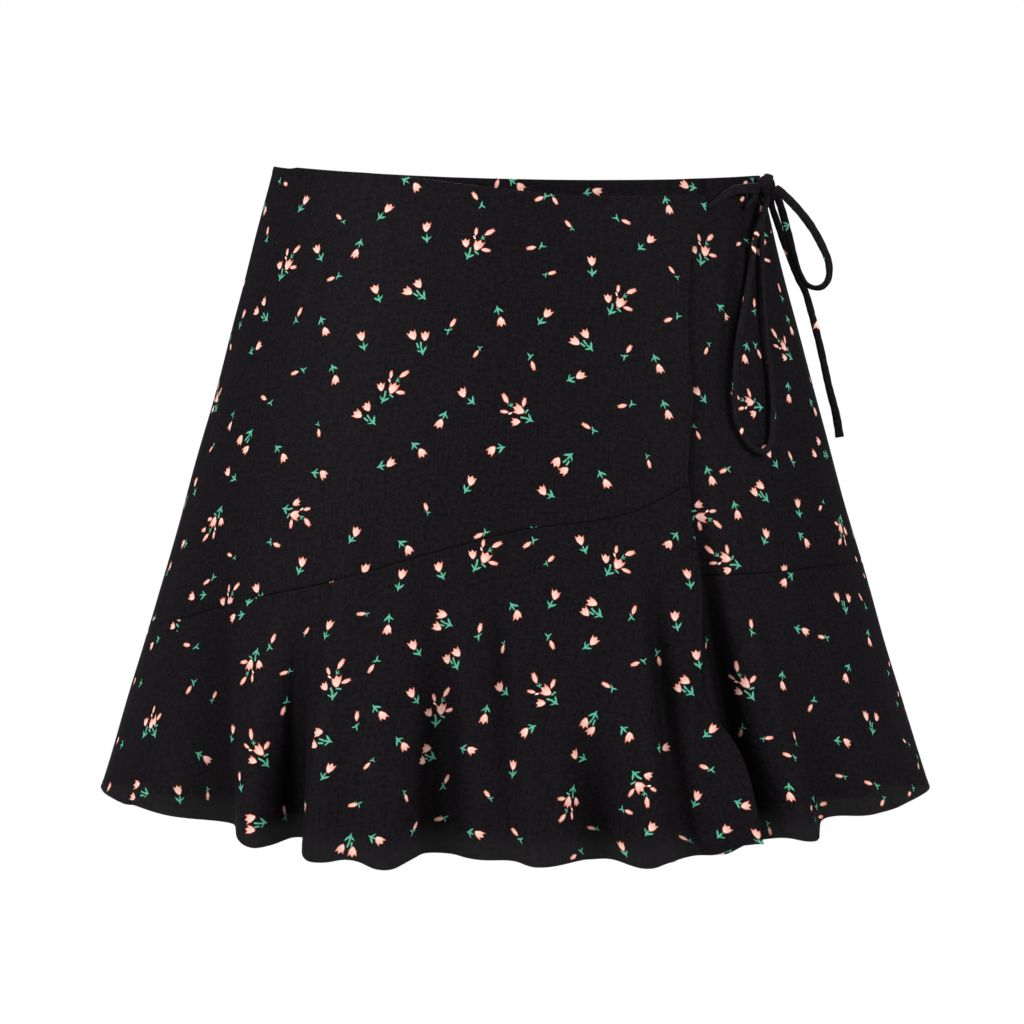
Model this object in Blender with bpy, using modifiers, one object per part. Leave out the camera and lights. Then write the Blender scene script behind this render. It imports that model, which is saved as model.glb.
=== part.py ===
"""A short wrap skirt with a flounce and a bow at the right side, filled out as it is worn.

Metres, +Z up. The origin is the middle of the waist, the front faces -Y and the wrap closes
towards +X. Every panel is a thin wall on one body. A place on that body is an angle round it, in
degrees from the middle of the front towards +X, and a drop below the waist.
"""

import math
from collections import namedtuple

import bmesh
import bpy
from mathutils import Vector
from mathutils.geometry import interpolate_bezier

# Cloth
WALL = 0.0012
SEAM_GAP = 0.0003
LAP_GAP = 0.0024
LAP_INSET = 0.0034

# The body that the cloth is cut for: an ellipse at each level, deeper behind than in front.
Level = namedtuple("Level", "drop half_width front_depth back_depth")
WAIST = Level(0.000, 0.1452, 0.094, 0.094)
HIP = Level(0.190, 0.19505, 0.139, 0.143)
HEM = Level(0.400, 0.25784, 0.170, 0.172)

# Edges of the panels
LEFT_SIDE = -64.0
RIGHT_SIDE = 105.0
WAIST_DIP = 0.0119
WAIST_TILT = 0.003
WRAP_DROOP = 0.010
DROOP_START = -38.0
DROOP_END = 22.0
HEM_SIDE_DROP = 0.3695
HEM_FRONT_EXTRA = 0.0305

Edge = namedtuple("Edge", "drop angle")
WRAP_EDGE = (
    Edge(0.0175, 47.3),
    Edge(0.0285, 45.8),
    Edge(0.0365, 42.8),
    Edge(0.0485, 40.3),
    Edge(0.0660, 38.3),
    Edge(0.0950, 35.7),
    Edge(0.1400, 34.2),
    Edge(0.1880, 30.6),
    Edge(0.2500, 30.2),
    Edge(0.3140, 29.6),
    Edge(0.3390, 32.3),
    Edge(0.3950, 34.2),
)
UNDERLAP_EDGE = (
    Edge(0.010, -44.0),
    Edge(0.060, -30.0),
    Edge(0.240, 8.0),
    Edge(0.400, 24.5),
)

Stitch = namedtuple("Stitch", "angle drop")
WRAP_SEAM = (
    Stitch(-90.0, 0.2775),
    Stitch(-68.5, 0.2692),
    Stitch(-54.0, 0.2588),
    Stitch(-43.0, 0.2524),
    Stitch(-31.0, 0.2450),
    Stitch(-13.0, 0.2278),
    Stitch(0.0, 0.2158),
    Stitch(20.0, 0.2050),
    Stitch(34.0, 0.1850),
)
BACK_SEAM = (
    Stitch(0.0, 0.2400),
    Stitch(40.0, 0.2400),
    Stitch(60.0, 0.2360),
    Stitch(90.0, 0.2338),
    Stitch(180.0, 0.2520),
    Stitch(270.0, 0.2775),
    Stitch(296.0, 0.2675),
)

# Folds. Each runs down from its start to its end, leans from one angle to the other, and pushes
# the wall out (or in, where push is negative) over its two half widths. It is deepest at peak,
# a share of its length, and tail is the share of that depth left at its end. Dip is how much
# lower the hem hangs there.
Fold = namedtuple("Fold", "start_drop start_angle end_drop end_angle bend left right push peak tail dip")
FRONT_FOLDS = (
    Fold(0.150, -63.0, 0.400, -41.5, 1, 0.040, 0.022, -0.0190, 1.00, 1.00, -0.0045),
    Fold(0.225, -42.3, 0.400, -35.3, 1, 0.013, 0.016, 0.0120, 1.00, 1.00, 0.0060),
    Fold(0.228, -35.0, 0.400, -30.2, 1, 0.017, 0.015, -0.0190, 1.00, 1.00, -0.0020),
    Fold(0.150, -29.5, 0.400, -25.4, 1, 0.016, 0.034, 0.0115, 1.00, 1.00, 0.0070),
    Fold(0.225, -22.5, 0.400, -16.2, 1, 0.028, 0.022, 0.0095, 1.00, 1.00, 0.0075),
    Fold(0.205, -13.4, 0.400, -10.0, 1, 0.022, 0.030, -0.0185, 0.90, 0.95, -0.0020),
    Fold(0.215, -3.4, 0.400, -0.6, 1, 0.014, 0.014, -0.0065, 0.45, 0.40, 0.0000),
    Fold(0.250, 2.4, 0.400, 3.4, 1, 0.020, 0.030, 0.0070, 1.00, 1.00, 0.0035),
    Fold(0.270, 9.6, 0.400, 10.8, 1, 0.026, 0.026, -0.0120, 0.90, 0.80, 0.0015),
    Fold(0.230, 15.4, 0.400, 17.3, 1, 0.026, 0.022, 0.0085, 1.00, 1.00, 0.0072),
    Fold(0.195, 21.6, 0.400, 22.0, 1, 0.015, 0.017, -0.0098, 0.55, 0.60, 0.0085),
    Fold(0.240, 26.0, 0.400, 26.3, 1, 0.016, 0.018, 0.0025, 1.00, 1.00, 0.0042),
)
SIDE_FOLDS = (
    Fold(0.205, 37.5, 0.400, 40.1, 1, 0.020, 0.018, 0.0090, 1.00, 1.00, 0.0045),
    Fold(0.240, 45.0, 0.400, 46.4, 1, 0.018, 0.032, -0.0055, 1.00, 1.00, -0.0040),
    Fold(0.250, 57.0, 0.400, 60.0, 1, 0.030, 0.040, 0.0035, 1.00, 1.00, 0.0000),
)
BACK_FOLDS = (
    Fold(0.235, 109.0, 0.400, 113.0, 1, 0.028, 0.030, -0.0075, 1.00, 1.00, -0.0020),
    Fold(0.225, 121.0, 0.400, 124.0, 1, 0.030, 0.026, 0.0095, 1.00, 1.00, 0.0040),
    Fold(0.195, 133.0, 0.400, 134.0, 1, 0.024, 0.026, -0.0130, 1.00, 1.00, -0.0030),
    Fold(0.240, 144.0, 0.400, 144.5, 1, 0.028, 0.034, 0.0100, 1.00, 1.00, 0.0050),
    Fold(0.225, 156.0, 0.400, 156.0, 1, 0.030, 0.030, -0.0080, 0.70, 0.60, -0.0010),
    Fold(0.235, 168.0, 0.400, 166.5, 1, 0.030, 0.036, 0.0090, 1.00, 1.00, 0.0040),
    Fold(0.180, 179.0, 0.400, 178.0, 1, 0.030, 0.028, -0.0130, 1.00, 1.00, -0.0030),
    Fold(0.235, 190.0, 0.400, 189.0, 1, 0.030, 0.030, 0.0100, 1.00, 1.00, 0.0055),
    Fold(0.245, 201.0, 0.400, 200.5, 1, 0.028, 0.036, -0.0085, 1.00, 0.90, -0.0010),
    Fold(0.240, 214.0, 0.400, 213.5, 1, 0.034, 0.028, 0.0110, 1.00, 1.00, 0.0045),
    Fold(0.200, 225.0, 0.400, 225.5, 1, 0.026, 0.026, -0.0120, 1.00, 1.00, -0.0030),
    Fold(0.250, 236.0, 0.400, 237.0, 1, 0.026, 0.034, 0.0090, 1.00, 1.00, 0.0030),
    Fold(0.245, 251.0, 0.400, 250.0, 1, 0.034, 0.036, -0.0065, 1.00, 1.00, -0.0020),
)
UNDERLAP_FOLDS = (
    Fold(0.016, 66.0, 0.175, 41.0, 2, 0.008, 0.009, -0.0034, 0.45, 0.00, 0.0000),
    Fold(0.020, 60.0, 0.125, 43.0, 2, 0.008, 0.007, 0.0012, 0.40, 0.00, 0.0000),
    Fold(0.014, 80.0, 0.150, 57.0, 2, 0.009, 0.011, -0.0026, 0.35, 0.00, 0.0000),
    Fold(0.180, 33.0, 0.400, 35.6, 1, 0.015, 0.016, -0.0155, 0.80, 0.90, -0.0020),
)
EDGE_LIFT = Fold(0.190, 30.2, 0.400, 34.0, 1, 0.030, 0.022, 0.0085, 0.90, 1.00, 0.0045)
NARROW_AT_START = 0.45

# The ties are one flattened tube of the same cloth, tied in a bow with one long and one short end.
TIE_DIAMETER = 0.0042
TIE_END_DIAMETER = 0.0026
TIE_SPACING = 0.0085
KNOT_PLACE = (0.1490, -0.0260, -0.0110)
KNOT_SIZE = (0.0100, 0.0100, 0.0124)

# Routes of the stretches that lie on the skirt.
Rest = namedtuple("Rest", "angle drop lift")
WRAP_TIE_ROUTE = (
    Rest(46.8, 0.0265, 0.0036),
    Rest(49.5, 0.0235, 0.0034),
    Rest(54.0, 0.0185, 0.0033),
    Rest(59.0, 0.0150, 0.0034),
    Rest(64.0, 0.0140, 0.0040),
    Rest(69.6, 0.0130, 0.0052),
)
SIDE_TIE_ROUTE = (
    Rest(103.5, 0.0085, 0.0032),
    Rest(98.0, 0.0085, 0.0033),
    Rest(92.0, 0.0090, 0.0036),
    Rest(86.0, 0.0096, 0.0044),
    Rest(81.0, 0.0102, 0.0060),
)
LEFT_LOOP_ROUTE = (
    Rest(71.6, 0.0192, 0.0082),
    Rest(67.8, 0.0270, 0.0078),
    Rest(64.1, 0.0354, 0.0066),
    Rest(60.6, 0.0460, 0.0053),
    Rest(58.0, 0.0579, 0.0045),
    Rest(52.8, 0.0808, 0.0040),
    Rest(48.4, 0.1017, 0.0038),
    Rest(45.4, 0.1223, 0.0037),
    Rest(43.6, 0.1398, 0.0037),
    Rest(43.2, 0.1526, 0.0037),
    Rest(44.4, 0.1625, 0.0038),
    Rest(46.3, 0.1683, 0.0039),
    Rest(48.6, 0.1695, 0.0040),
    Rest(50.6, 0.1650, 0.0040),
    Rest(52.2, 0.1565, 0.0039),
    Rest(54.1, 0.1423, 0.0038),
    Rest(55.8, 0.1246, 0.0037),
    Rest(57.3, 0.1040, 0.0036),
    Rest(59.6, 0.0803, 0.0036),
    Rest(63.4, 0.0562, 0.0036),
    Rest(68.9, 0.0319, 0.0036),
    Rest(73.4, 0.0200, 0.0035),
)
SHORT_END_ROUTE = (
    Rest(69.2, 0.0178, 0.0033),
    Rest(66.5, 0.0202, 0.0029),
    Rest(63.6, 0.0232, 0.0026),
    Rest(61.8, 0.0255, 0.0026),
)

# Routes of the stretches that hang beside the skirt.
RIGHT_LOOP_ROUTE = (
    (0.1545, -0.0305, -0.0128),
    (0.1588, -0.0318, -0.0160),
    (0.1680, -0.0325, -0.0256),
    (0.1757, -0.0328, -0.0357),
    (0.1817, -0.0328, -0.0464),
    (0.1857, -0.0325, -0.0562),
    (0.1861, -0.0318, -0.0650),
    (0.1832, -0.0307, -0.0703),
    (0.1785, -0.0294, -0.0717),
    (0.1731, -0.0282, -0.0694),
    (0.1693, -0.0272, -0.0627),
    (0.1662, -0.0264, -0.0542),
    (0.1626, -0.0258, -0.0406),
    (0.1602, -0.0255, -0.0311),
    (0.1575, -0.0254, -0.0216),
    (0.1553, -0.0255, -0.0160),
)
LONG_END_ROUTE = (
    (0.1519, -0.0205, -0.0176),
    (0.1532, -0.0196, -0.0235),
    (0.1560, -0.0188, -0.0314),
    (0.1596, -0.0182, -0.0421),
    (0.1638, -0.0178, -0.0528),
    (0.1686, -0.0174, -0.0647),
    (0.1728, -0.0170, -0.0726),
    (0.1764, -0.0165, -0.0845),
    (0.1818, -0.0158, -0.1052),
    (0.1872, -0.0151, -0.1296),
    (0.1914, -0.0146, -0.1457),
    (0.1938, -0.0143, -0.1600),
)

# Finish: a near-black printed crepe.
CLOTH_COLOUR = (0.0125, 0.0110, 0.0125, 1.0)
CLOTH_ROUGHNESS = 0.82
TIE_COLOUR = (0.0140, 0.0125, 0.0135, 1.0)
TIE_ROUGHNESS = 0.78


def clear_scene():
    for obj in list(bpy.data.objects):
        bpy.data.objects.remove(obj, do_unlink=True)


def smooth_step(value):
    held = min(max(value, 0.0), 1.0)
    return held * held * (3.0 - 2.0 * held)


def table_value(rows, at, value, place):
    """A table's column value, read in straight lines between its rows, at a place in its column at."""
    if place <= getattr(rows[0], at):
        return getattr(rows[0], value)
    for low, high in zip(rows, rows[1:]):
        start, end = getattr(low, at), getattr(high, at)
        if place <= end:
            share = (place - start) / (end - start)
            return getattr(low, value) * (1.0 - share) + getattr(high, value) * share
    return getattr(rows[-1], value)


def through_levels(drop, size):
    """The parabola of one size through the waist, hip and hem levels."""
    total = 0.0
    levels = (WAIST, HIP, HEM)
    for level in levels:
        weight = 1.0
        for other in levels:
            if other is not level:
                weight *= (drop - other.drop) / (level.drop - other.drop)
        total += weight * getattr(level, size)
    return total


def half_axes(angle, drop):
    facing_front = math.cos(math.radians(angle)) >= 0.0
    depth = "front_depth" if facing_front else "back_depth"
    return through_levels(drop, "half_width"), through_levels(drop, depth)


def arc_rate(angle, drop):
    """Metres round the body for each degree."""
    width, depth = half_axes(angle, drop)
    turn = math.radians(angle)
    return math.radians(math.hypot(width * math.cos(turn), depth * math.sin(turn)))


def on_body(angle, drop, push):
    """A point of the body's surface, moved straight out from it by push."""
    width, depth = half_axes(angle, drop)
    turn = math.radians(angle)
    out = Vector((depth * math.sin(turn), -width * math.cos(turn), 0.0)).normalized()
    return Vector((width * math.sin(turn), -depth * math.cos(turn), -drop)) + push * out


def fold_reach(fold, angle, drop):
    """How much of a fold's push is felt at a place, from 0 to 1."""
    along = (drop - fold.start_drop) / (fold.end_drop - fold.start_drop)
    if along <= 0.0:
        return 0.0
    held = min(along, 1.0)
    centre = fold.end_angle + (fold.start_angle - fold.end_angle) * (1.0 - held) ** fold.bend
    away = (angle - centre + 180.0) % 360.0 - 180.0
    across = away * arc_rate(angle, drop)
    width = fold.left if across < 0.0 else fold.right
    width *= NARROW_AT_START + (1.0 - NARROW_AT_START) * held
    if abs(across) >= width:
        return 0.0
    if held < fold.peak:
        depth = smooth_step(held / fold.peak)
    else:
        depth = 1.0 - (1.0 - fold.tail) * smooth_step((held - fold.peak) / (1.0 - fold.peak + 1e-6))
    return depth * 0.5 * (1.0 + math.cos(math.pi * across / width))


def folds_push(folds, angle, drop):
    return sum(fold.push * fold_reach(fold, angle, drop) for fold in folds)


def shared_push(angle, drop):
    return folds_push(FRONT_FOLDS + SIDE_FOLDS + BACK_FOLDS, angle, drop)


def wrap_push(angle, drop):
    """The wrap lies over the underlap, and its free edge lifts off it towards the hem."""
    over = LAP_GAP * smooth_step((angle - LEFT_SIDE) / 45.0)
    return shared_push(angle, drop) + over + folds_push((EDGE_LIFT,), angle, drop)


def underlap_push(angle, drop):
    """Under the wrap the underlap lies a little further in, and it drags in towards the bow."""
    edge = table_value(WRAP_EDGE, "drop", "angle", drop)
    inset = LAP_INSET * smooth_step((edge - angle - 1.0) / 8.0)
    return shared_push(angle, drop) - inset + folds_push(UNDERLAP_FOLDS, angle, drop)


def waist_drop(angle):
    turn = math.radians(angle)
    dip = WAIST_DIP * max(math.cos(turn), 0.0) ** 1.3
    return dip + WAIST_TILT * math.sin(turn)


def wrap_top_drop(angle):
    droop = (angle - DROOP_START) / (DROOP_END - DROOP_START)
    return waist_drop(angle) + WRAP_DROOP * smooth_step(droop)


def hem_drop(angle):
    """The hem hangs lowest in the middle of the front and back, and dips at each fold."""
    turn = math.radians(angle)
    drop = HEM_SIDE_DROP + HEM_FRONT_EXTRA * math.cos(turn) ** 2
    folds = FRONT_FOLDS + SIDE_FOLDS + BACK_FOLDS + (EDGE_LIFT,)
    return drop + sum(fold.dip * fold_reach(fold, angle, fold.end_drop) for fold in folds)


class Seam:
    """A seam round the body, with half the gap between its two panels on each side of it."""

    def __init__(self, rows):
        self.rows = rows

    def middle(self, angle):
        return table_value(self.rows, "angle", "drop", angle)

    def above(self, angle):
        return self.middle(angle) - 0.5 * SEAM_GAP

    def below(self, angle):
        return self.middle(angle) + 0.5 * SEAM_GAP


def slanting(rows, top, bottom):
    """The angle of a slanting edge at each share of the way down a panel."""

    def angle_at(share):
        angle = rows[0].angle
        for _ in range(6):
            drop = top(angle) + share * (bottom(angle) - top(angle))
            angle = table_value(rows, "drop", "angle", drop)
        return angle

    return angle_at


def straight(angle, inwards):
    """A side seam, with half the seam's gap on the panel's side of it."""
    inside = angle + inwards * math.degrees(0.5 * SEAM_GAP / WAIST.half_width)

    def angle_at(_):
        return inside

    return angle_at


def spread(columns, left, right, push):
    """Shares of the way round at which columns stand evenly along the folded hem."""
    samples = 40 * columns
    lengths = [0.0]
    last = None
    for index in range(samples + 1):
        angle = left + (right - left) * index / samples
        point = on_body(angle, hem_drop(angle), push(angle, hem_drop(angle)))
        if last is not None:
            lengths.append(lengths[-1] + (point - last).length)
        last = point
    shares = []
    place = 0
    for column in range(columns + 1):
        wanted = lengths[-1] * column / columns
        while place < samples and lengths[place] < wanted:
            place += 1
        shares.append(place / samples)
    return shares


def cloth_material(name, colour, roughness):
    material = bpy.data.materials.new(name)
    material.use_nodes = True
    shader = material.node_tree.nodes["Principled BSDF"]
    shader.inputs["Base Color"].default_value = colour
    shader.inputs["Roughness"].default_value = roughness
    shader.inputs["Metallic"].default_value = 0.0
    material.diffuse_color = colour
    return material


def add_to(collection, name, data, material):
    obj = bpy.data.objects.new(name, data)
    data.materials.append(material)
    collection.objects.link(obj)
    return obj


def add_panel(collection, name, columns, rows, left, right, top, bottom, push):
    """A wall between two edges, left and right, and two curves round the body, top and bottom."""
    bm = bmesh.new()
    bmesh.ops.create_grid(bm, x_segments=columns, y_segments=rows, size=0.5)
    shares = spread(columns, left(1.0), right(1.0), push)
    for vert in bm.verts:
        down = 0.5 - vert.co.y
        across = shares[round((vert.co.x + 0.5) * columns)]
        angle = left(down) + across * (right(down) - left(down))
        drop = top(angle) + down * (bottom(angle) - top(angle))
        vert.co = on_body(angle, drop, push(angle, drop))
    mesh = bpy.data.meshes.new(name)
    bm.to_mesh(mesh)
    bm.free()
    mesh.shade_smooth()
    material = cloth_material(name, CLOTH_COLOUR, CLOTH_ROUGHNESS)
    panel = add_to(collection, name, mesh, material)
    wall = panel.modifiers.new("Wall", "SOLIDIFY")
    wall.thickness = WALL
    wall.offset = 0.0
    wall.use_even_offset = True
    wall.use_rim = True
    return panel


def add_wrap(collection):
    seam = Seam(WRAP_SEAM)
    left = straight(LEFT_SIDE, 1)
    edge = slanting(WRAP_EDGE, wrap_top_drop, seam.above)
    add_panel(collection, "front_wrap_upper", 30, 9, left, edge, wrap_top_drop, seam.above, wrap_push)
    edge = slanting(WRAP_EDGE, seam.below, hem_drop)
    add_panel(collection, "front_wrap_flounce", 76, 9, left, edge, seam.below, hem_drop, wrap_push)


def add_underlap(collection):
    seam = Seam(BACK_SEAM)
    right = straight(RIGHT_SIDE, -1)
    edge = slanting(UNDERLAP_EDGE, waist_drop, seam.above)
    add_panel(collection, "underlap_upper", 38, 12, edge, right, waist_drop, seam.above, underlap_push)
    edge = slanting(UNDERLAP_EDGE, seam.below, hem_drop)
    add_panel(collection, "underlap_flounce", 46, 9, edge, right, seam.below, hem_drop, underlap_push)


def add_back(collection):
    seam = Seam(BACK_SEAM)
    left = straight(RIGHT_SIDE, 1)
    right = straight(LEFT_SIDE + 360.0, -1)
    add_panel(collection, "back_upper", 34, 7, left, right, waist_drop, seam.above, shared_push)
    add_panel(collection, "back_flounce", 92, 9, left, right, seam.below, hem_drop, shared_push)


def smooth_route(points):
    """A POLY route read from a smooth curve through hand-placed points."""
    path = [Vector(point) for point in points]
    dense = []
    for index, (start, end) in enumerate(zip(path, path[1:])):
        before = path[max(index - 1, 0)]
        after = path[min(index + 2, len(path) - 1)]
        first_handle = start + (end - before) / 6.0
        second_handle = end - (after - start) / 6.0
        dense.extend(interpolate_bezier(start, first_handle, second_handle, end, 12)[:-1])
    dense.append(path[-1])
    steps = [(b - a).length for a, b in zip(dense, dense[1:])]
    count = max(2, round(sum(steps) / TIE_SPACING))
    spacing = sum(steps) / count
    route = [dense[0]]
    walked = 0.0
    for point, step in zip(dense[1:], steps):
        walked += step
        if walked >= spacing * len(route) and len(route) < count:
            route.append(point)
    route.append(dense[-1])
    return route


def add_tie(collection, name, points, diameter=TIE_DIAMETER):
    route = smooth_route(points)
    curve = bpy.data.curves.new(name, "CURVE")
    curve.dimensions = "3D"
    curve.bevel_depth = 0.5 * diameter
    curve.bevel_resolution = 2
    curve.use_fill_caps = True
    spline = curve.splines.new("POLY")
    spline.points.add(len(route) - 1)
    for point, place in zip(spline.points, route):
        point.co = (*place, 1.0)
    return add_to(collection, name, curve, cloth_material(name, TIE_COLOUR, TIE_ROUGHNESS))


def resting(rows):
    return [on_body(row.angle, row.drop, row.lift) for row in rows]


def add_knot(collection):
    """The tie wound once round itself: a round ball, a little taller than it is wide."""
    mesh = bpy.data.meshes.new("bow_knot")
    bm = bmesh.new()
    bmesh.ops.create_uvsphere(bm, u_segments=14, v_segments=9, radius=0.5)
    bmesh.ops.scale(bm, vec=KNOT_SIZE, verts=bm.verts)
    bm.to_mesh(mesh)
    bm.free()
    mesh.shade_smooth()
    knot = add_to(collection, "bow_knot", mesh, cloth_material("bow_knot", TIE_COLOUR, TIE_ROUGHNESS))
    knot.location = KNOT_PLACE


def add_bow(collection):
    add_tie(collection, "tie_from_wrap", resting(WRAP_TIE_ROUTE))
    add_tie(collection, "tie_from_side_seam", resting(SIDE_TIE_ROUTE))
    add_tie(collection, "bow_loop_left", resting(LEFT_LOOP_ROUTE))
    add_tie(collection, "bow_loop_right", RIGHT_LOOP_ROUTE)
    add_tie(collection, "tie_long_end", LONG_END_ROUTE)
    add_tie(collection, "tie_short_end", resting(SHORT_END_ROUTE), TIE_END_DIAMETER)
    add_knot(collection)


def main():
    clear_scene()
    collection = bpy.data.collections.new("wrap_skirt")
    bpy.context.scene.collection.children.link(collection)
    add_wrap(collection)
    add_underlap(collection)
    add_back(collection)
    add_bow(collection)


main()
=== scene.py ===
"""The looks of a short wrap skirt in printed crepe, filled out as it is worn.

Metres, +Z up, the front faces -Y. A place on the skirt is an angle round its body, in degrees
from the middle of the front towards +X, and a drop below the waist, as in the part's own source.
"""

import math
from collections import namedtuple

import bpy
import numpy as np
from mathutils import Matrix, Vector
from mathutils.geometry import interpolate_bezier


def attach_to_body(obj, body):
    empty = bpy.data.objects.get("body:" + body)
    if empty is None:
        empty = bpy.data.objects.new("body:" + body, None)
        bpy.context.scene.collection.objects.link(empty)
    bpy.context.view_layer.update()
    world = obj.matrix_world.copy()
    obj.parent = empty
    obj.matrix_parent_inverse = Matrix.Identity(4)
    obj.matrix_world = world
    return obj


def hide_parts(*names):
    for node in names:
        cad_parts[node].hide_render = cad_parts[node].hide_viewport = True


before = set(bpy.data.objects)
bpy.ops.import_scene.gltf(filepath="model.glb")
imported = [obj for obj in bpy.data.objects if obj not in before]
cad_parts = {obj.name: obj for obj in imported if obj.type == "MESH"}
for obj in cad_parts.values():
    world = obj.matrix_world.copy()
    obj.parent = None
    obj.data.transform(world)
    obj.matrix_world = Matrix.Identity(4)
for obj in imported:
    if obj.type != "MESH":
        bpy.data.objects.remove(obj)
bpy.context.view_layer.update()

# ---- Camera: the photograph is 1024 pixels square, taken level, from straight in front. ----

PHOTO_WIDTH = 1024
CAMERA_PLACE = Vector((-0.0018, -2.6, -0.2046))
CAMERA_LENS = 152.3
SENSOR = 36.0
CAMERA_REACH = 60.0


def add_camera():
    data = bpy.data.cameras.new("photo_camera")
    data.lens = CAMERA_LENS
    data.sensor_width = SENSOR
    data.clip_end = CAMERA_REACH
    camera = bpy.data.objects.new("photo_camera", data)
    camera.location = CAMERA_PLACE
    camera.rotation_euler = (math.radians(90.0), 0.0, 0.0)
    bpy.context.scene.collection.objects.link(camera)
    bpy.context.scene.camera = camera


# ---- The form, from the same named sizes as the part's source ----

# The wrap lies this far out, reached in so many degrees from the side. The underlap lies this far
# in under it, from a degree inside the wrap's edge.
LAP_GAP = 0.0024
GAP_DEGREES = 45.0
LAP_INSET = 0.0034
INSET_START = 1.0
INSET_DEGREES = 8.0

Level = namedtuple("Level", "drop half_width front_depth back_depth")
WAIST = Level(0.0, 0.1452, 0.094, 0.094)
HIP = Level(0.19, 0.19505, 0.139, 0.143)
HEM = Level(0.4, 0.25784, 0.17, 0.172)

LEFT_SIDE = -64.0
RIGHT_SIDE = 105.0
WAIST_DIP = 0.0119
DIP_SHARPNESS = 1.3
WAIST_TILT = 0.003
WRAP_DROOP = 0.01
DROOP_START = -38.0
DROOP_END = 22.0
HEM_SIDE_DROP = 0.3695
HEM_FRONT_EXTRA = 0.0305

# The free edges, as drops and their angles.
WRAP_EDGE = (
    (0.0175, 47.3), (0.0285, 45.8), (0.0365, 42.8), (0.0485, 40.3), (0.066, 38.3), (0.095, 35.7),
    (0.14, 34.2), (0.188, 30.6), (0.25, 29.7), (0.28, 28.3), (0.314, 27.6), (0.339, 30.8), (0.395, 32.4),
)
UNDERLAP_EDGE = (
    (0.01, -44.0), (0.06, -30.0), (0.24, 8.0), (0.4, 24.5),
)

# The seams between the upper panels and the flounces, as angles and their drops.
WRAP_SEAM = (
    (-90.0, 0.2775), (-68.5, 0.2692), (-54.0, 0.2588), (-43.0, 0.2524), (-31.0, 0.245), (-13.0, 0.2278),
    (0.0, 0.2158), (20.0, 0.205), (34.0, 0.185),
)
BACK_SEAM = (
    (0.0, 0.24), (40.0, 0.24), (60.0, 0.236), (90.0, 0.2338), (180.0, 0.252), (270.0, 0.2775),
    (296.0, 0.2675),
)

# A fold's left and right are its half widths. Push is how far it stands out, or in for a trough,
# and dip how much it lowers the hem. It is deepest at the share peak of its way down, and fades to
# the share tail of its depth at its end.
FOLD_FIELDS = "start_drop start_angle end_angle left right push dip peak tail bend end_drop"
Fold = namedtuple("Fold", FOLD_FIELDS, defaults=(1.0, 1.0, 1, 0.4))
SHARED_FOLDS = (
    # The front, from left to right.
    Fold(0.15, -63.0, -42.0, 0.046, 0.031, -0.0115, -0.003),
    Fold(0.225, -42.3, -35.3, 0.021, 0.018, 0.009, 0.005),
    Fold(0.228, -35.0, -30.2, 0.017, 0.015, -0.019, -0.002),
    Fold(0.15, -29.5, -25.4, 0.016, 0.034, 0.0115, 0.007),
    Fold(0.225, -22.5, -16.2, 0.028, 0.022, 0.0095, 0.0075),
    Fold(0.205, -13.4, -10.0, 0.022, 0.03, -0.0185, -0.002, 0.9, 0.95),
    Fold(0.215, -3.4, -0.6, 0.014, 0.014, -0.0065, 0.0, 0.45, 0.4),
    Fold(0.25, 2.4, 3.4, 0.02, 0.03, 0.007, 0.0035),
    Fold(0.27, 9.6, 10.8, 0.026, 0.026, -0.012, 0.0015, 0.9, 0.8),
    Fold(0.23, 15.4, 17.3, 0.026, 0.022, 0.0085, 0.0072),
    Fold(0.195, 21.6, 22.0, 0.015, 0.017, -0.0098, 0.0085, 0.55, 0.6),
    Fold(0.24, 26.0, 26.3, 0.016, 0.018, 0.0025, 0.0042),
    # The right side.
    Fold(0.205, 37.5, 40.1, 0.02, 0.018, 0.009, 0.0045),
    Fold(0.24, 45.0, 46.4, 0.018, 0.032, -0.0055, -0.004),
    Fold(0.25, 57.0, 60.0, 0.03, 0.04, 0.0035, 0.0),
    # The back, on round the body.
    Fold(0.235, 109.0, 113.0, 0.028, 0.03, -0.0075, -0.002),
    Fold(0.225, 121.0, 124.0, 0.03, 0.026, 0.0095, 0.004),
    Fold(0.195, 133.0, 134.0, 0.024, 0.026, -0.013, -0.003),
    Fold(0.24, 144.0, 144.5, 0.028, 0.034, 0.01, 0.005),
    Fold(0.225, 156.0, 156.0, 0.03, 0.03, -0.008, -0.001, 0.7, 0.6),
    Fold(0.235, 168.0, 166.5, 0.03, 0.036, 0.009, 0.004),
    Fold(0.18, 179.0, 178.0, 0.03, 0.028, -0.013, -0.003),
    Fold(0.235, 190.0, 189.0, 0.03, 0.03, 0.01, 0.0055),
    Fold(0.245, 201.0, 200.5, 0.028, 0.036, -0.0085, -0.001, 1.0, 0.9),
    Fold(0.24, 214.0, 213.5, 0.034, 0.028, 0.011, 0.0045),
    Fold(0.2, 225.0, 225.5, 0.026, 0.026, -0.012, -0.003),
    Fold(0.25, 236.0, 237.0, 0.026, 0.034, 0.009, 0.003),
    Fold(0.245, 251.0, 250.0, 0.034, 0.036, -0.0065, -0.002),
)
UNDERLAP_FOLDS = (
    Fold(0.016, 66.0, 41.0, 0.008, 0.009, -0.0034, 0.0, 0.45, 0.0, bend=2, end_drop=0.175),
    Fold(0.02, 60.0, 43.0, 0.008, 0.007, 0.0012, 0.0, 0.4, 0.0, bend=2, end_drop=0.125),
    Fold(0.014, 80.0, 57.0, 0.009, 0.011, -0.0026, 0.0, 0.35, 0.0, bend=2, end_drop=0.15),
    Fold(0.15, 29.6, 33.8, 0.015, 0.016, -0.0155, -0.002, 0.75, 0.65),
)
EDGE_LIFT = Fold(0.19, 29.6, 32.4, 0.03, 0.022, 0.0085, 0.001, 0.9, 1.0)
NARROW_AT_START = 0.6
FOLD_LATENESS = 1.35
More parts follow.
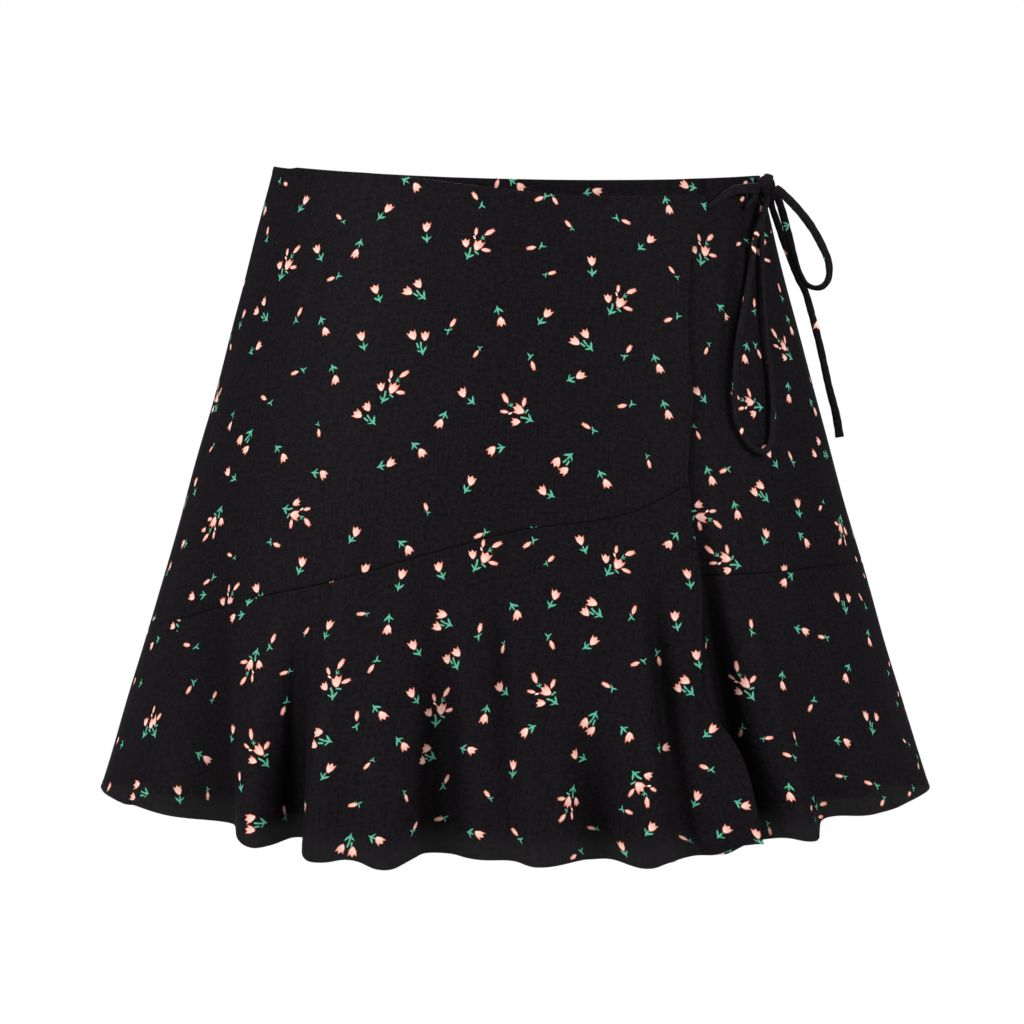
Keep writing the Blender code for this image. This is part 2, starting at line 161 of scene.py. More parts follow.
FOLD_SWING = 0.1
RIPPLE_LOW = 0.00045
RIPPLE_HIGH = 0.0003


def smooth_step(value):
    held = np.clip(value, 0.0, 1.0)
    return held * held * (3.0 - 2.0 * held)


def table_curve(rows, place, column=1):
    """A table's column, read along a smooth curve through its rows, by its first column."""
    xs = np.array([row[0] for row in rows])
    ys = np.array([row[column] for row in rows])
    slopes = np.gradient(ys, xs)
    held = np.clip(place, xs[0], xs[-1])
    index = np.clip(np.searchsorted(xs, held) - 1, 0, len(xs) - 2)
    step = xs[index + 1] - xs[index]
    t = (held - xs[index]) / step
    start = (1.0 + 2.0 * t) * (1.0 - t) ** 2 * ys[index]
    end = t * t * (3.0 - 2.0 * t) * ys[index + 1]
    leave = t * (1.0 - t) ** 2 * step * slopes[index]
    arrive = t * t * (t - 1.0) * step * slopes[index + 1]
    return start + end + leave + arrive


def through_levels(drop, size):
    """The parabola of one size through the waist, hip and hem levels."""
    total = 0.0
    levels = (WAIST, HIP, HEM)
    for level in levels:
        weight = 1.0
        for other in levels:
            if other is not level:
                weight = weight * (drop - other.drop) / (level.drop - other.drop)
        total = total + weight * getattr(level, size)
    return total


def half_axes(angle, drop):
    front = through_levels(drop, "front_depth")
    back = through_levels(drop, "back_depth")
    facing_front = np.cos(np.radians(angle)) >= 0.0
    return through_levels(drop, "half_width"), np.where(facing_front, front, back)


def arc_rate(angle, drop):
    """Metres round the body for each degree."""
    width, depth = half_axes(angle, drop)
    turn = np.radians(angle)
    return np.radians(np.hypot(width * np.cos(turn), depth * np.sin(turn)))


def on_body(angle, drop, push):
    """Points of the body's surface, moved straight out from it by push."""
    width, depth = half_axes(angle, drop)
    turn = np.radians(angle)
    out_x = depth * np.sin(turn)
    out_y = -width * np.cos(turn)
    scale = push / np.hypot(out_x, out_y)
    x = width * np.sin(turn) + out_x * scale
    y = -depth * np.cos(turn) + out_y * scale
    return np.stack(np.broadcast_arrays(x, y, -drop + 0.0 * x), axis=-1)


def fold_place(fold, angle, drop):
    """The share of the way down a fold, and the turn across it, from -pi to pi between its feet."""
    along = (drop - fold.start_drop) / (fold.end_drop - fold.start_drop)
    held = np.clip(along, 0.0, 1.0)
    centre = fold.end_angle + (fold.start_angle - fold.end_angle) * (1.0 - held) ** fold.bend
    away = (angle - centre + 180.0) % 360.0 - 180.0
    across = away * arc_rate(angle, drop)
    width = np.where(across < 0.0, fold.left, fold.right)
    width = width * (NARROW_AT_START + (1.0 - NARROW_AT_START) * held)
    return held, np.pi * np.clip(across / width, -1.0, 1.0)


def fold_reach(fold, angle, drop):
    """How much of a fold's push is felt at a place, from 0 to 1."""
    held, turn = fold_place(fold, angle, drop)
    rising = smooth_step(held / fold.peak) ** FOLD_LATENESS
    past = (held - fold.peak) / (1.0 - fold.peak + 1e-6)
    depth = np.where(held < fold.peak, rising, 1.0 - (1.0 - fold.tail) * smooth_step(past))
    return depth * (0.5 * (1.0 + np.cos(turn)))


def folds_push(folds, angle, drop):
    return sum(fold.push * fold_reach(fold, angle, drop) for fold in folds)


def fold_swing(fold, angle, drop):
    """How far a fold's walls lean over its trough or off its ridge, in metres round the body."""
    held, turn = fold_place(fold, angle, drop)
    lean = np.sin(2.0 * turn) * np.cos(0.5 * turn) ** 2
    return FOLD_SWING * abs(fold.push) * smooth_step(held * 1.4) * lean


def draped(angle, drop, push):
    """Points of the hanging cloth, its folds' walls leaning as soft cloth does."""
    swing = sum(fold_swing(fold, angle, drop) for fold in SHARED_FOLDS)
    return on_body(angle + swing / arc_rate(angle, drop), drop, push(angle, drop))


def ripple(angle, drop):
    """The slight unevenness of soft cloth that hangs free."""
    turn = np.radians(angle)
    low = np.sin(9.0 * turn + 31.0 * drop + 0.7) * np.sin(23.0 * drop - 4.0 * turn + 0.4)
    high = np.sin(21.0 * turn - 47.0 * drop + 2.1) * np.sin(13.0 * turn + 39.0 * drop)
    return RIPPLE_LOW * low + RIPPLE_HIGH * high


def shared_push(angle, drop):
    return folds_push(SHARED_FOLDS, angle, drop) + ripple(angle, drop)


def wrap_push(angle, drop):
    """The wrap lies over the underlap, and its free edge lifts off it towards the hem."""
    over = LAP_GAP * smooth_step((angle - LEFT_SIDE) / GAP_DEGREES)
    return shared_push(angle, drop) + over + folds_push((EDGE_LIFT,), angle, drop)


def underlap_push(angle, drop):
    """Under the wrap the underlap lies a little further in, and it drags in towards the bow."""
    edge = table_curve(WRAP_EDGE, drop)
    inset = LAP_INSET * smooth_step((edge - angle - INSET_START) / INSET_DEGREES)
    return shared_push(angle, drop) - inset + folds_push(UNDERLAP_FOLDS, angle, drop)


def waist_drop(angle):
    turn = np.radians(angle)
    dip = WAIST_DIP * np.maximum(np.cos(turn), 0.0) ** DIP_SHARPNESS
    return dip + WAIST_TILT * np.sin(turn)


def wrap_top_drop(angle):
    droop = (angle - DROOP_START) / (DROOP_END - DROOP_START)
    return waist_drop(angle) + WRAP_DROOP * smooth_step(droop)


def hem_drop(angle):
    """The hem hangs lowest in the middle of the front and back, and dips at each fold."""
    drop = HEM_SIDE_DROP + HEM_FRONT_EXTRA * np.cos(np.radians(angle)) ** 2
    folds = SHARED_FOLDS + (EDGE_LIFT,)
    return drop + sum(fold.dip * fold_reach(fold, angle, fold.end_drop) for fold in folds)


def wrap_seam_drop(angle):
    return table_curve(WRAP_SEAM, angle)


def back_seam_drop(angle):
    return table_curve(BACK_SEAM, angle)


# ---- The flat cut: each panel laid flat is a part of a ring, and the print lies straight on that ----


CUT_COLUMNS = 481
CUT_ROWS = 61


class FlatCut:
    """The flat place of each place on the skirt, for cloth cut as part of a ring."""

    def __init__(self, push, low_angle, high_angle, low_drop, high_drop, middle):
        self.middle = middle
        self.angles = np.linspace(low_angle, high_angle, CUT_COLUMNS)
        self.drops = np.linspace(low_drop, high_drop, CUT_ROWS)
        angle, drop = np.meshgrid(self.angles, self.drops)
        points = draped(angle, drop, push)
        steps = np.linalg.norm(np.diff(points, axis=1), axis=2)
        round_body = np.concatenate([np.zeros((len(self.drops), 1)), np.cumsum(steps, axis=1)], axis=1)
        start = np.array([np.interp(middle, self.angles, row) for row in round_body])
        self.round = round_body - start[:, None]
        slants = np.linalg.norm(np.diff(points, axis=0), axis=2).mean(axis=1)
        down = np.concatenate([[0.0], np.cumsum(slants)])
        girth = round_body[:, -1]
        flare = (girth[-1] - girth[0]) / (down[-1] * girth[0])
        self.radius = 1.0 / flare + down
        self.first_radius = self.radius[0]

    def place(self, angle, drop):
        """Metres across and up in the flat, from the middle of the cut's inner edge."""
        column = np.interp(angle, self.angles, np.arange(len(self.angles)))
        row = np.interp(drop, self.drops, np.arange(len(self.drops)))
        left = np.minimum(column.astype(int), len(self.angles) - 2)
        above = np.minimum(row.astype(int), len(self.drops) - 2)
        over = column - left
        under = row - above
        top = self.round[above, left] * (1.0 - over) + self.round[above, left + 1] * over
        low = self.round[above + 1, left] * (1.0 - over) + self.round[above + 1, left + 1] * over
        along = top * (1.0 - under) + low * under
        radius = np.interp(drop, self.drops, self.radius)
        turn = along / radius
        across = radius * np.sin(turn)
        up = self.first_radius - radius * np.cos(turn)
        return np.stack([across, up], axis=-1)


# A pixel of the photograph: its slope from the camera, and its size on the front in metres.
PIXEL_SLOPE = SENSOR / CAMERA_LENS / PHOTO_WIDTH
PIXEL = 0.00058

# The first guess of a place that a pixel shows, and how it is mended step by step.
GUESSED_PIXELS_PER_DEGREE = 5.5
GUESSED_WAIST_ROW = 160.0
MENDING_STEPS = 24
MENDED_SHARE = 0.6
LEAST_FACING = 0.35


def pixel_of(points):
    """Where points of the skirt show in the photograph, and the size of a pixel there."""
    reach = (points[..., 1] - CAMERA_PLACE.y) * PIXEL_SLOPE
    x = 0.5 * PHOTO_WIDTH + (points[..., 0] - CAMERA_PLACE.x) / reach
    return x, 0.5 * PHOTO_WIDTH - (points[..., 2] - CAMERA_PLACE.z) / reach, reach


def shown_places(x, y, push):
    """The angles and drops of the places on the front that pixels of the photograph show."""
    angle = (x - 0.5 * PHOTO_WIDTH) / GUESSED_PIXELS_PER_DEGREE
    drop = (y - GUESSED_WAIST_ROW) * PIXEL
    for _ in range(MENDING_STEPS):
        seen_x, seen_y, reach = pixel_of(draped(angle, drop, push))
        facing = np.maximum(np.cos(np.radians(angle)), LEAST_FACING)
        width, _ = half_axes(angle, drop)
        angle = angle + MENDED_SHARE * np.degrees((x - seen_x) * reach / (width * facing))
        drop = drop + MENDED_SHARE * (y - seen_y) * reach
    return angle, drop


# ---- The print: small tulips, scattered in a repeat ----

# Charted in pixels of the photograph. A tulip or a bud is the x and y of the middle of its
# head and of its leaf, a twin those of two heads and a leaf, and a bunch is the x and y of its
# middle and its turn counter-clockwise.

Rows = namedtuple("Rows", "bunches twins tulips buds pale_buds")
WRAP_ROWS = Rows(
    bunches=(
        (476, 242, 0), (287, 262, 0), (391, 385, 0), (515, 412, 90), (618, 299, 0), (215, 525, 180),
        (216, 400, 95), (298, 512, -83),
    ),
    twins=(
        (408, 291, 418, 284, 422, 296), (413, 335, 425, 336, 422, 350), (358, 414, 367, 407, 372, 421),
        (575, 341, 585, 334, 589, 347), (556, 462, 564, 471, 569, 457), (257, 311, 264, 302, 266, 318),
        (240, 440, 246, 450, 250, 434),
    ),
    tulips=(
        (306, 200, 301, 208), (388, 208, 381, 216), (426, 227, 427, 238), (356, 254, 360, 244),
        (376, 289, 379, 298), (325, 332, 322, 321), (362, 336, 364, 346), (336, 380, 333, 369),
        (462, 393, 471, 401), (440, 424, 444, 416), (284, 458, 278, 449), (324, 474, 316, 473),
        (391, 463, 382, 466), (422, 453, 415, 446), (491, 450, 500, 448), (472, 481, 467, 489),
        (501, 322, 498, 311), (547, 313, 541, 321), (592, 261, 592, 272), (580, 375, 571, 379),
        (606, 484, 601, 475), (542, 491, 550, 495), (650, 239, 641, 247), (669, 210, 666, 201),
        (659, 369, 655, 359), (668, 415, 664, 405), (357, 532, 352, 539), (409, 550, 402, 544),
        (303, 562, 300, 570), (259, 346, 252, 351), (228, 472, 234, 478), (192, 597, 203, 595),
        (257, 588, 260, 597), (417, 187, 406, 181),
    ),
    buds=(
        (268, 231, 267, 240), (331, 279, 339, 276), (300, 312, 296, 321), (295, 373, 304, 370),
        (453, 323, 448, 331), (533, 366, 530, 356), (531, 248, 542, 246), (586, 426, 594, 431),
        (475, 196, 482, 206), (264, 398, 271, 403), (626, 222, 616, 218), (668, 320, 678, 316),
        (629, 349, 624, 357), (622, 406, 632, 404), (539, 199, 546, 196), (277, 545, 270, 542),
        (286, 184, 280, 181), (231, 347, 231, 338), (207, 582, 214, 577),
    ),
    pale_buds=(
        (339, 217, 344, 222), (568, 224, 572, 229), (552, 273, 545, 275), (476, 354, 480, 348),
        (319, 433, 318, 424), (649, 464, 647, 456), (230, 555, 235, 558), (426, 507, 428, 513),
        (555, 201, 551, 195),
    ),
)
WRAP_FLOUNCE_ROWS = Rows(
    bunches=(
        (252, 668, 180), (152, 720, 32), (333, 680, 28), (255, 751, 50), (483, 554, 0), (616, 560, 0),
        (542, 693, 90), (438, 707, 28), (644, 786, -95), (570, 805, -160),
    ),
    twins=(
        (318, 732, 314, 745, 327, 741), (137, 784, 133, 797, 146, 793), (250, 818, 250, 830, 262, 823),
        (352, 852, 341, 849, 350, 839), (592, 602, 585, 612, 598, 614), (442, 614, 437, 627, 448, 624),
        (457, 652, 447, 659, 456, 665), (685, 680, 678, 688, 690, 692), (584, 723, 591, 731, 594, 716),
        (426, 748, 422, 761, 431, 757),
    ),
    tulips=(
        (233, 618, 241, 615), (152, 646, 158, 640), (135, 681, 141, 683), (233, 729, 232, 738),
        (118, 741, 122, 745), (207, 760, 200, 755), (240, 776, 241, 787), (382, 716, 376, 709),
        (329, 625, 326, 635), (388, 630, 389, 619), (330, 768, 324, 776), (179, 790, 180, 799),
        (379, 841, 373, 838), (402, 574, 399, 586), (438, 567, 442, 575), (580, 540, 584, 549),
        (669, 545, 675, 536), (688, 574, 690, 584), (556, 595, 551, 604), (675, 616, 677, 626),
        (518, 615, 513, 607), (413, 645, 418, 652), (594, 641, 587, 646), (697, 655, 699, 664),
        (499, 687, 505, 692), (411, 693, 416, 700), (484, 719, 486, 710), (524, 732, 531, 728),
        (630, 737, 624, 730), (665, 747, 659, 748), (404, 747, 399, 741), (471, 751, 464, 749),
        (514, 765, 513, 773), (574, 755, 582, 758), (479, 835, 471, 833), (652, 827, 648, 832),
        (622, 846, 625, 852), (698, 796, 695, 803), (713, 729, 707, 734), (746, 806, 739, 803),
        (726, 829, 720, 835), (757, 834, 759, 841),
    ),
    buds=(
        (187, 645, 197, 647), (189, 690, 194, 682), (283, 711, 287, 701), (371, 669, 377, 660),
        (357, 716, 356, 727), (284, 810, 285, 818), (353, 805, 359, 804), (527, 545, 534, 540),
        (634, 610, 631, 618), (480, 628, 478, 637), (552, 645, 548, 636), (635, 664, 644, 661),
        (659, 661, 657, 652), (606, 685, 613, 689), (447, 779, 443, 787), (629, 812, 622, 809),
        (439, 819, 445, 818), (415, 826, 412, 832), (515, 832, 521, 840), (573, 857, 581, 851),
        (704, 767, 712, 770),
    ),
    pale_buds=(
        (229, 598, 224, 602), (284, 673, 290, 671), (215, 695, 212, 701), (361, 614, 367, 614),
        (307, 631, 305, 634), (367, 766, 373, 760), (208, 796, 208, 789), (551, 559, 546, 564),
        (503, 649, 504, 643), (406, 798, 404, 792), (487, 794, 491, 799), (591, 828, 597, 829),
        (683, 838, 690, 841),
    ),
)
UNDERLAP_ROWS = Rows(
    bunches=(
        (702, 248, 0), (782, 348, 80), (748, 405, 105), (723, 561, 93), (842, 532, 180),
    ),
    twins=(
        (818, 441, 814, 454, 826, 455), (760, 485, 754, 492, 765, 498),
    ),
    tulips=(
        (725, 317, 721, 308), (744, 359, 746, 347), (697, 391, 703, 399), (789, 399, 788, 387),
        (815, 412, 811, 403), (712, 481, 708, 471), (768, 453, 775, 464), (797, 503, 799, 513),
        (738, 515, 735, 506), (807, 543, 801, 536), (521, 187, 513, 182), (597, 192, 588, 193),
        (684, 185, 692, 187),
    ),
    buds=(
        (738, 244, 747, 241), (779, 288, 782, 299), (754, 303, 754, 312), (759, 354, 755, 345),
        (723, 471, 728, 469), (790, 456, 793, 463), (771, 232, 765, 235), (497, 184, 500, 175),
        (745, 183, 752, 180), (742, 199, 747, 193),
    ),
    pale_buds=(
        (706, 351, 709, 344), (810, 380, 813, 388), (820, 508, 823, 502), (764, 447, 758, 451),
    ),
)
UNDERLAP_FLOUNCE_ROWS = Rows(
    bunches=(
        (741, 683, 45),
    ),
    twins=(
        (837, 597, 848, 598, 845, 609), (866, 716, 876, 717, 872, 730),
    ),
    tulips=(
        (784, 583, 790, 576), (805, 632, 798, 629), (869, 642, 868, 634), (782, 686, 782, 676),
        (845, 678, 848, 668), (847, 742, 838, 741), (790, 797, 789, 788),
    ),
    buds=(
        (864, 576, 868, 584), (751, 624, 752, 633), (821, 637, 827, 638), (889, 664, 888, 673),
        (810, 708, 814, 700), (898, 694, 897, 704), (741, 733, 743, 727), (787, 755, 795, 758),
        (868, 783, 877, 786), (918, 766, 917, 757), (909, 794, 913, 788), (811, 808, 813, 799),
        (823, 804, 816, 807),
    ),
    pale_buds=(
        (769, 738, 763, 739), (794, 736, 796, 744), (839, 776, 845, 777), (904, 741, 909, 745),
        (882, 803, 884, 798), (820, 817, 815, 820), (770, 831, 768, 823),
    ),
)

# The repeat, and how near a motif may stand to one that is placed already.
REPEAT_TURN = -5.5
REPEAT_SIZE = 0.2025
NEAREST_MOTIFS = 0.0205
REPEATS_EACH_WAY = 4

# The kinds of mark in the flowers' and the leaves' layers, and how much of a code its lean takes.
HEAD = 1
BUD = 2
STEM = 3
LEAF = 1
SPRIG = 2
STAR = 3
LEAN_SHARE = 0.4

# Half heights, in pixels of the photograph.
HEAD_SIZE = 5.1
BUD_SIZE = 4.9
PALE_BUD_SIZE = 4.4
LEAF_SIZE = 5.2
STAR_SIZE = 4.0
SMALL_STAR_SIZE = 2.9
TWIN_LEAF_SIZE = 5.6
TWIN_LEAF_LEAN = 0.3

# The turn off their stem, the half height and the lean of a twin's heads.
TWIN_HEADS = ((-8.0, 5.4, -0.6), (10.0, 5.0, 0.3))

# A twin's two sprigs: their half height, how far each stands to its side of a middle that is
# moved to the left, how far above the leaf, and their turn.
SPRIG_SIZE = 2.9
SPRIG_APART = 1.7
SPRIG_SHIFT = 1.6
SPRIG_RISE = 5.6
SPRIG_TURN = 9.0

# How much of its stem's turn a head keeps.
HEAD_TURN_SHARE = 0.65

# One mark of the print: its middle in the flat, its turn clockwise from upright, and its half
# height. Lean pulls a tulip's tips to one side.
Mark = namedtuple("Mark", "across up turn size kind lean")
Motif = namedtuple("Motif", "across up flowers leaves")

# The parts of a bunch, in pixels to the right of its middle and above it.
BunchPart = namedtuple("BunchPart", "right up turn size kind lean")
BUNCH_FLOWERS = (
    BunchPart(-9.8, -1.3, -6.0, 4.6, HEAD, -0.3),
    BunchPart(1.9, -3.1, 14.0, 6.0, HEAD, 0.8),
    BunchPart(-0.6, 10.6, 3.0, 4.1, BUD, 0.0),
    BunchPart(13.0, 10.6, 57.0, 5.6, BUD, 0.0),
    BunchPart(10.6, -8.1, 97.0, 4.8, BUD, 0.0),
    BunchPart(-1.8, 4.6, -25.0, 2.2, STEM, 0.0),
)
BUNCH_LEAVES = (
    BunchPart(-6.2, -13.6, 22.0, 5.4, LEAF, 0.5),
    BunchPart(7.0, 4.4, 60.0, 2.9, LEAF, -0.4),
    BunchPart(-5.2, -9.0, 4.0, 3.1, SPRIG, 0.0),
    BunchPart(1.4, -11.2, -52.0, 2.7, SPRIG, 0.0),
)


def turned(right, up, turn):
    """A step given upright, turned clockwise by turn degrees."""
    angle = math.radians(turn)
    return (
        right * math.cos(angle) + up * math.sin(angle),
        up * math.cos(angle) - right * math.sin(angle),
    )


def heading(start, end):
    """The clockwise turn from upright of the way from start to end."""
    return math.degrees(math.atan2(end[0] - start[0], end[1] - start[1]))


def eased(turn):
    """Heads hang nearly upright or upside down, less turned than their stems."""
    upright = 180.0 * round(turn / 180.0)
    return upright + HEAD_TURN_SHARE * (turn - upright)


def lean_of(x, y):
    """A lean that differs from motif to motif."""
    return math.sin(12.9898 * x + 4.1414 * y)


class Chart:
    """Reads charted pixels as places on a panel's flat cloth."""

    def __init__(self, panel):
        self.cut = flat_cut(panel)
        rows = [row for group in panel.chart for row in group]
        pixels = sorted({row[at : at + 2] for row in rows for at in range(0, len(row) - 1, 2)})
        x, y = np.array(pixels, dtype=float).T
        angle, drop = shown_places(x, y, panel.push)
        angle = self.cut.middle + (angle - self.cut.middle + 180.0) % 360.0 - 180.0
        held = (angle > self.cut.angles[0]) & (angle < self.cut.angles[-1])
        self.places = dict(zip(pixels, self.cut.place(angle, drop).tolist()))
        on_panel = {pixel for pixel, is_held in zip(pixels, held) if is_held}
        self.chart = Rows(*([row for row in group if row[:2] in on_panel] for group in panel.chart))

    def flat(self, x, y):
        return tuple(self.places[x, y])

    def tulip(self, row, size, kind, leaf_size, leaf_kind):
        """A tulip, or a bud with its star of leaves."""
        head = self.flat(*row[:2])
        leaf = self.flat(*row[2:])
        turn = heading(leaf, head)
        upright = eased(turn) if kind == HEAD else turn
        flower = Mark(*head, upright, size * PIXEL, kind, lean_of(*row[:2]))
        leaves = (Mark(*leaf, turn, leaf_size * PIXEL, leaf_kind, lean_of(*row[2:])),)
        return Motif(*head, (flower,), leaves)

    def twin(self, row):
        """Two heads over one leaf with a sprig on each side."""
        first = self.flat(*row[:2])
        second = self.flat(*row[2:4])
        leaf = self.flat(*row[4:])
        middle = (0.5 * (first[0] + second[0]), 0.5 * (first[1] + second[1]))
        turn = heading(leaf, middle)
        flowers = tuple(
            Mark(*place, turn + bend, size * PIXEL, HEAD, lean)
            for place, (bend, size, lean) in zip((first, second), TWIN_HEADS)
        )
        leaves = [Mark(*leaf, turn, TWIN_LEAF_SIZE * PIXEL, LEAF, TWIN_LEAF_LEAN)]
        for side in (-1.0, 1.0):
            aside = side * SPRIG_APART * PIXEL - SPRIG_SHIFT * PIXEL
            right, up = turned(aside, SPRIG_RISE * PIXEL, turn)
            place = (leaf[0] + right, leaf[1] + up)
            leaves.append(Mark(*place, turn + SPRIG_TURN * side, SPRIG_SIZE * PIXEL, SPRIG, 0.0))
        return Motif(*middle, flowers, tuple(leaves))

    def bunch(self, row):
        """A bunch, each of its parts turned with it."""
        home = self.flat(*row[:2])
        turn = row[2]

        def marks(parts):
            made = []
            for part in parts:
                right, up = turned(part.right * PIXEL, part.up * PIXEL, -turn)
                place = (home[0] + right, home[1] + up)
                made.append(Mark(*place, part.turn - turn, part.size * PIXEL, part.kind, part.lean))
            return tuple(made)

        return Motif(*home, marks(BUNCH_FLOWERS), marks(BUNCH_LEAVES))

    def motifs(self):
        """The charted motifs that the panel holds."""
        held = self.chart
        made = [self.bunch(row) for row in held.bunches]
        made += [self.twin(row) for row in held.twins]
        made += [self.tulip(row, HEAD_SIZE, HEAD, LEAF_SIZE, LEAF) for row in held.tulips]
        made += [self.tulip(row, BUD_SIZE, BUD, STAR_SIZE, STAR) for row in held.buds]
        made += [self.tulip(row, PALE_BUD_SIZE, BUD, SMALL_STAR_SIZE, STAR) for row in held.pale_buds]
        return made


def moved(motif, across, up):
    def shifted(marks):
        return tuple(mark._replace(across=mark.across + across, up=mark.up + up) for mark in marks)

    return Motif(motif.across + across, motif.up + up, shifted(motif.flowers), shifted(motif.leaves))


def whole_print(motifs):
    """The charted motifs, repeated both ways wherever the chart has none nearby."""
    step_x = turned(REPEAT_SIZE, 0.0, -REPEAT_TURN)
    step_y = turned(0.0, REPEAT_SIZE, -REPEAT_TURN)
    reach = range(-REPEATS_EACH_WAY, REPEATS_EACH_WAY + 1)
    shifts = sorted(((i, j) for i in reach for j in reach), key=lambda ij: (ij[0] ** 2 + ij[1] ** 2, ij))
    placed = motifs
    for i, j in shifts[1:]:
        across = i * step_x[0] + j * step_y[0]
        up = i * step_x[1] + j * step_y[1]
        placed = filled_in(placed, [moved(motif, across, up) for motif in motifs])
    return placed


def filled_in(placed, more):
    """The placed motifs, and each of the others that has none nearby."""
    kept = list(placed)
    places = np.array([motif[:2] for motif in kept])
    for motif in more:
        place = np.array([motif[:2]])
        if np.linalg.norm(places - place, axis=1).min() >= NEAREST_MOTIFS:
            kept.append(motif)
            places = np.concatenate([places, place])
    return kept


# How far round the faces marks are looked for, in metres, and how many faces are done at once.
NEARBY = 0.02
FACES_AT_ONCE = 4000


class Print:
    """Every mark of the print, ready to be found from places in the flat."""

    def __init__(self, motifs):
        self.flowers = np.array([mark for motif in motifs for mark in motif.flowers])
        self.leaves = np.array([mark for motif in motifs for mark in motif.leaves])

    @staticmethod
    def nearest(marks, faces):
        """For each face, the two marks whose edges are nearest."""
        middles = faces.mean(axis=1)
        low = middles.min(axis=0) - NEARBY
        high = middles.max(axis=0) + NEARBY
        near = marks[np.all((marks[:, :2] > low) & (marks[:, :2] < high), axis=1)]
        found = np.empty((len(middles), 2), dtype=int)
        for start in range(0, len(middles), FACES_AT_ONCE):
            part = middles[start : start + FACES_AT_ONCE]
            away = np.linalg.norm(part[:, None, :] - near[None, :, :2], axis=2) - near[None, :, 3]
            found[start : start + FACES_AT_ONCE] = np.argsort(away, axis=1)[:, :2]
        return near[found]

    @staticmethod
    def local(marks, faces):
        """Each corner's place in its mark, in half heights, with the mark's kind and lean."""
        turn = np.radians(marks[:, 2])[:, None]
        away = (faces - marks[:, None, :2]) / marks[:, None, 3:4]
        right = away[..., 0] * np.cos(turn) - away[..., 1] * np.sin(turn)
        up = away[..., 1] * np.cos(turn) + away[..., 0] * np.sin(turn)
        code = marks[:, 4] + 0.5 + LEAN_SHARE * marks[:, 5]
        return np.stack([right, up, np.broadcast_to(code[:, None], right.shape)], axis=-1)

    def layers(self, faces):
        """The places of faces in the two flowers and the two leaves nearest to each."""
        made = {}
        for kind, marks in (("flower", self.flowers), ("leaf", self.leaves)):
            nearest = self.nearest(marks, faces)
            made[kind + "_a"] = self.local(nearest[:, 0], faces)
            made[kind + "_b"] = self.local(nearest[:, 1], faces)
        return made


# ---- The cloth shells ----

CLOTH = 0.0005
HEM_BAND = 0.0035
FINE_STEPS = (0.0, 0.0004, 0.0009, 0.0015, 0.0023, 0.003, 0.0036, 0.0046)

# A seam pinches the cloth in over a width, with a slight swell beside it. A hem stands out on both
# faces, ends within a step, dips at its stitches and closes round a fold.
SEAM_PINCH = 0.0003
SIDE_SEAM_PINCH = 0.0002
PINCH_WIDTH = 0.0009
SWELL_PLACE = 0.0026
SWELL_WIDTH = 0.001
SWELL_SHARE = 0.2
HEM_OUTER = 0.00022
HEM_INNER = 0.00055
HEM_STEP = 0.0006
STITCH_PLACE = HEM_BAND - 0.0006
STITCH_WIDTH = 0.0004
STITCH_OUTER_DENT = 0.00026
STITCH_INNER_DENT = 0.0002
FOLD_ROUND = 0.0008

SEAM = "seam"
SIDE_SEAM = "side_seam"
HEMMED = "hemmed"
FACED = "faced"

# The finish of each edge: top, bottom, left and right.
Finish = namedtuple("Finish", "top bottom left right")
Panel = namedtuple("Panel", "name node push left right top bottom finish columns rows chart held")


def edge_lines(count):
    """Shares of the way across a panel, with offsets in metres, closer together at its edges."""
    fine = np.array(FINE_STEPS)
    middle = np.linspace(0.0, 1.0, count)[1:-1]
    shares = np.concatenate([np.zeros(len(fine)), middle, np.ones(len(fine))])
    drift = fine[-1] * (1.0 - middle) - fine[-1] * middle
    return shares, np.concatenate([fine, drift, -fine[::-1]])


def walked_length(points):
    """The length of a line of points up to each of them."""
    return np.concatenate([[0.0], np.cumsum(np.linalg.norm(np.diff(points, axis=0), axis=1))])


EDGE_SAMPLES = 3001


def even_shares(panel):
    """Shares of the way round at which columns stand evenly along the folded lower edge."""
    left = panel.left(np.array([1.0]))[0]
    right = panel.right(np.array([1.0]))[0]
    samples = np.linspace(0.0, 1.0, EDGE_SAMPLES)
    angle = left + (right - left) * samples
    walked = walked_length(draped(angle, panel.bottom(angle), panel.push))
    return walked / walked[-1], samples


def bump_at(distance, middle, width):
    return np.exp(-(((distance - middle) / width) ** 2))


def edge_form(finish, distance):
    """How far an edge's finish moves the outer and inner faces, outwards, and how it closes."""
    if finish in (SEAM, SIDE_SEAM):
        deep = SEAM_PINCH if finish == SEAM else SIDE_SEAM_PINCH
        swell = SWELL_SHARE * deep * bump_at(distance, SWELL_PLACE, SWELL_WIDTH)
        pinch = -deep * bump_at(distance, 0.0, PINCH_WIDTH) + swell
        return pinch, pinch, np.ones_like(distance)
    band = 1.0 - smooth_step((distance - HEM_BAND) / HEM_STEP)
    outer = HEM_OUTER * band
    inner = -HEM_INNER * band
    if finish == HEMMED:
        stitched = bump_at(distance, STITCH_PLACE, STITCH_WIDTH)
        outer = outer - STITCH_OUTER_DENT * stitched
        inner = inner + STITCH_INNER_DENT * stitched
    closing = np.sqrt(np.clip(1.0 - (1.0 - distance / FOLD_ROUND) ** 2, 0.0, 1.0))
    return outer, inner, np.where(distance < FOLD_ROUND, closing, 1.0)


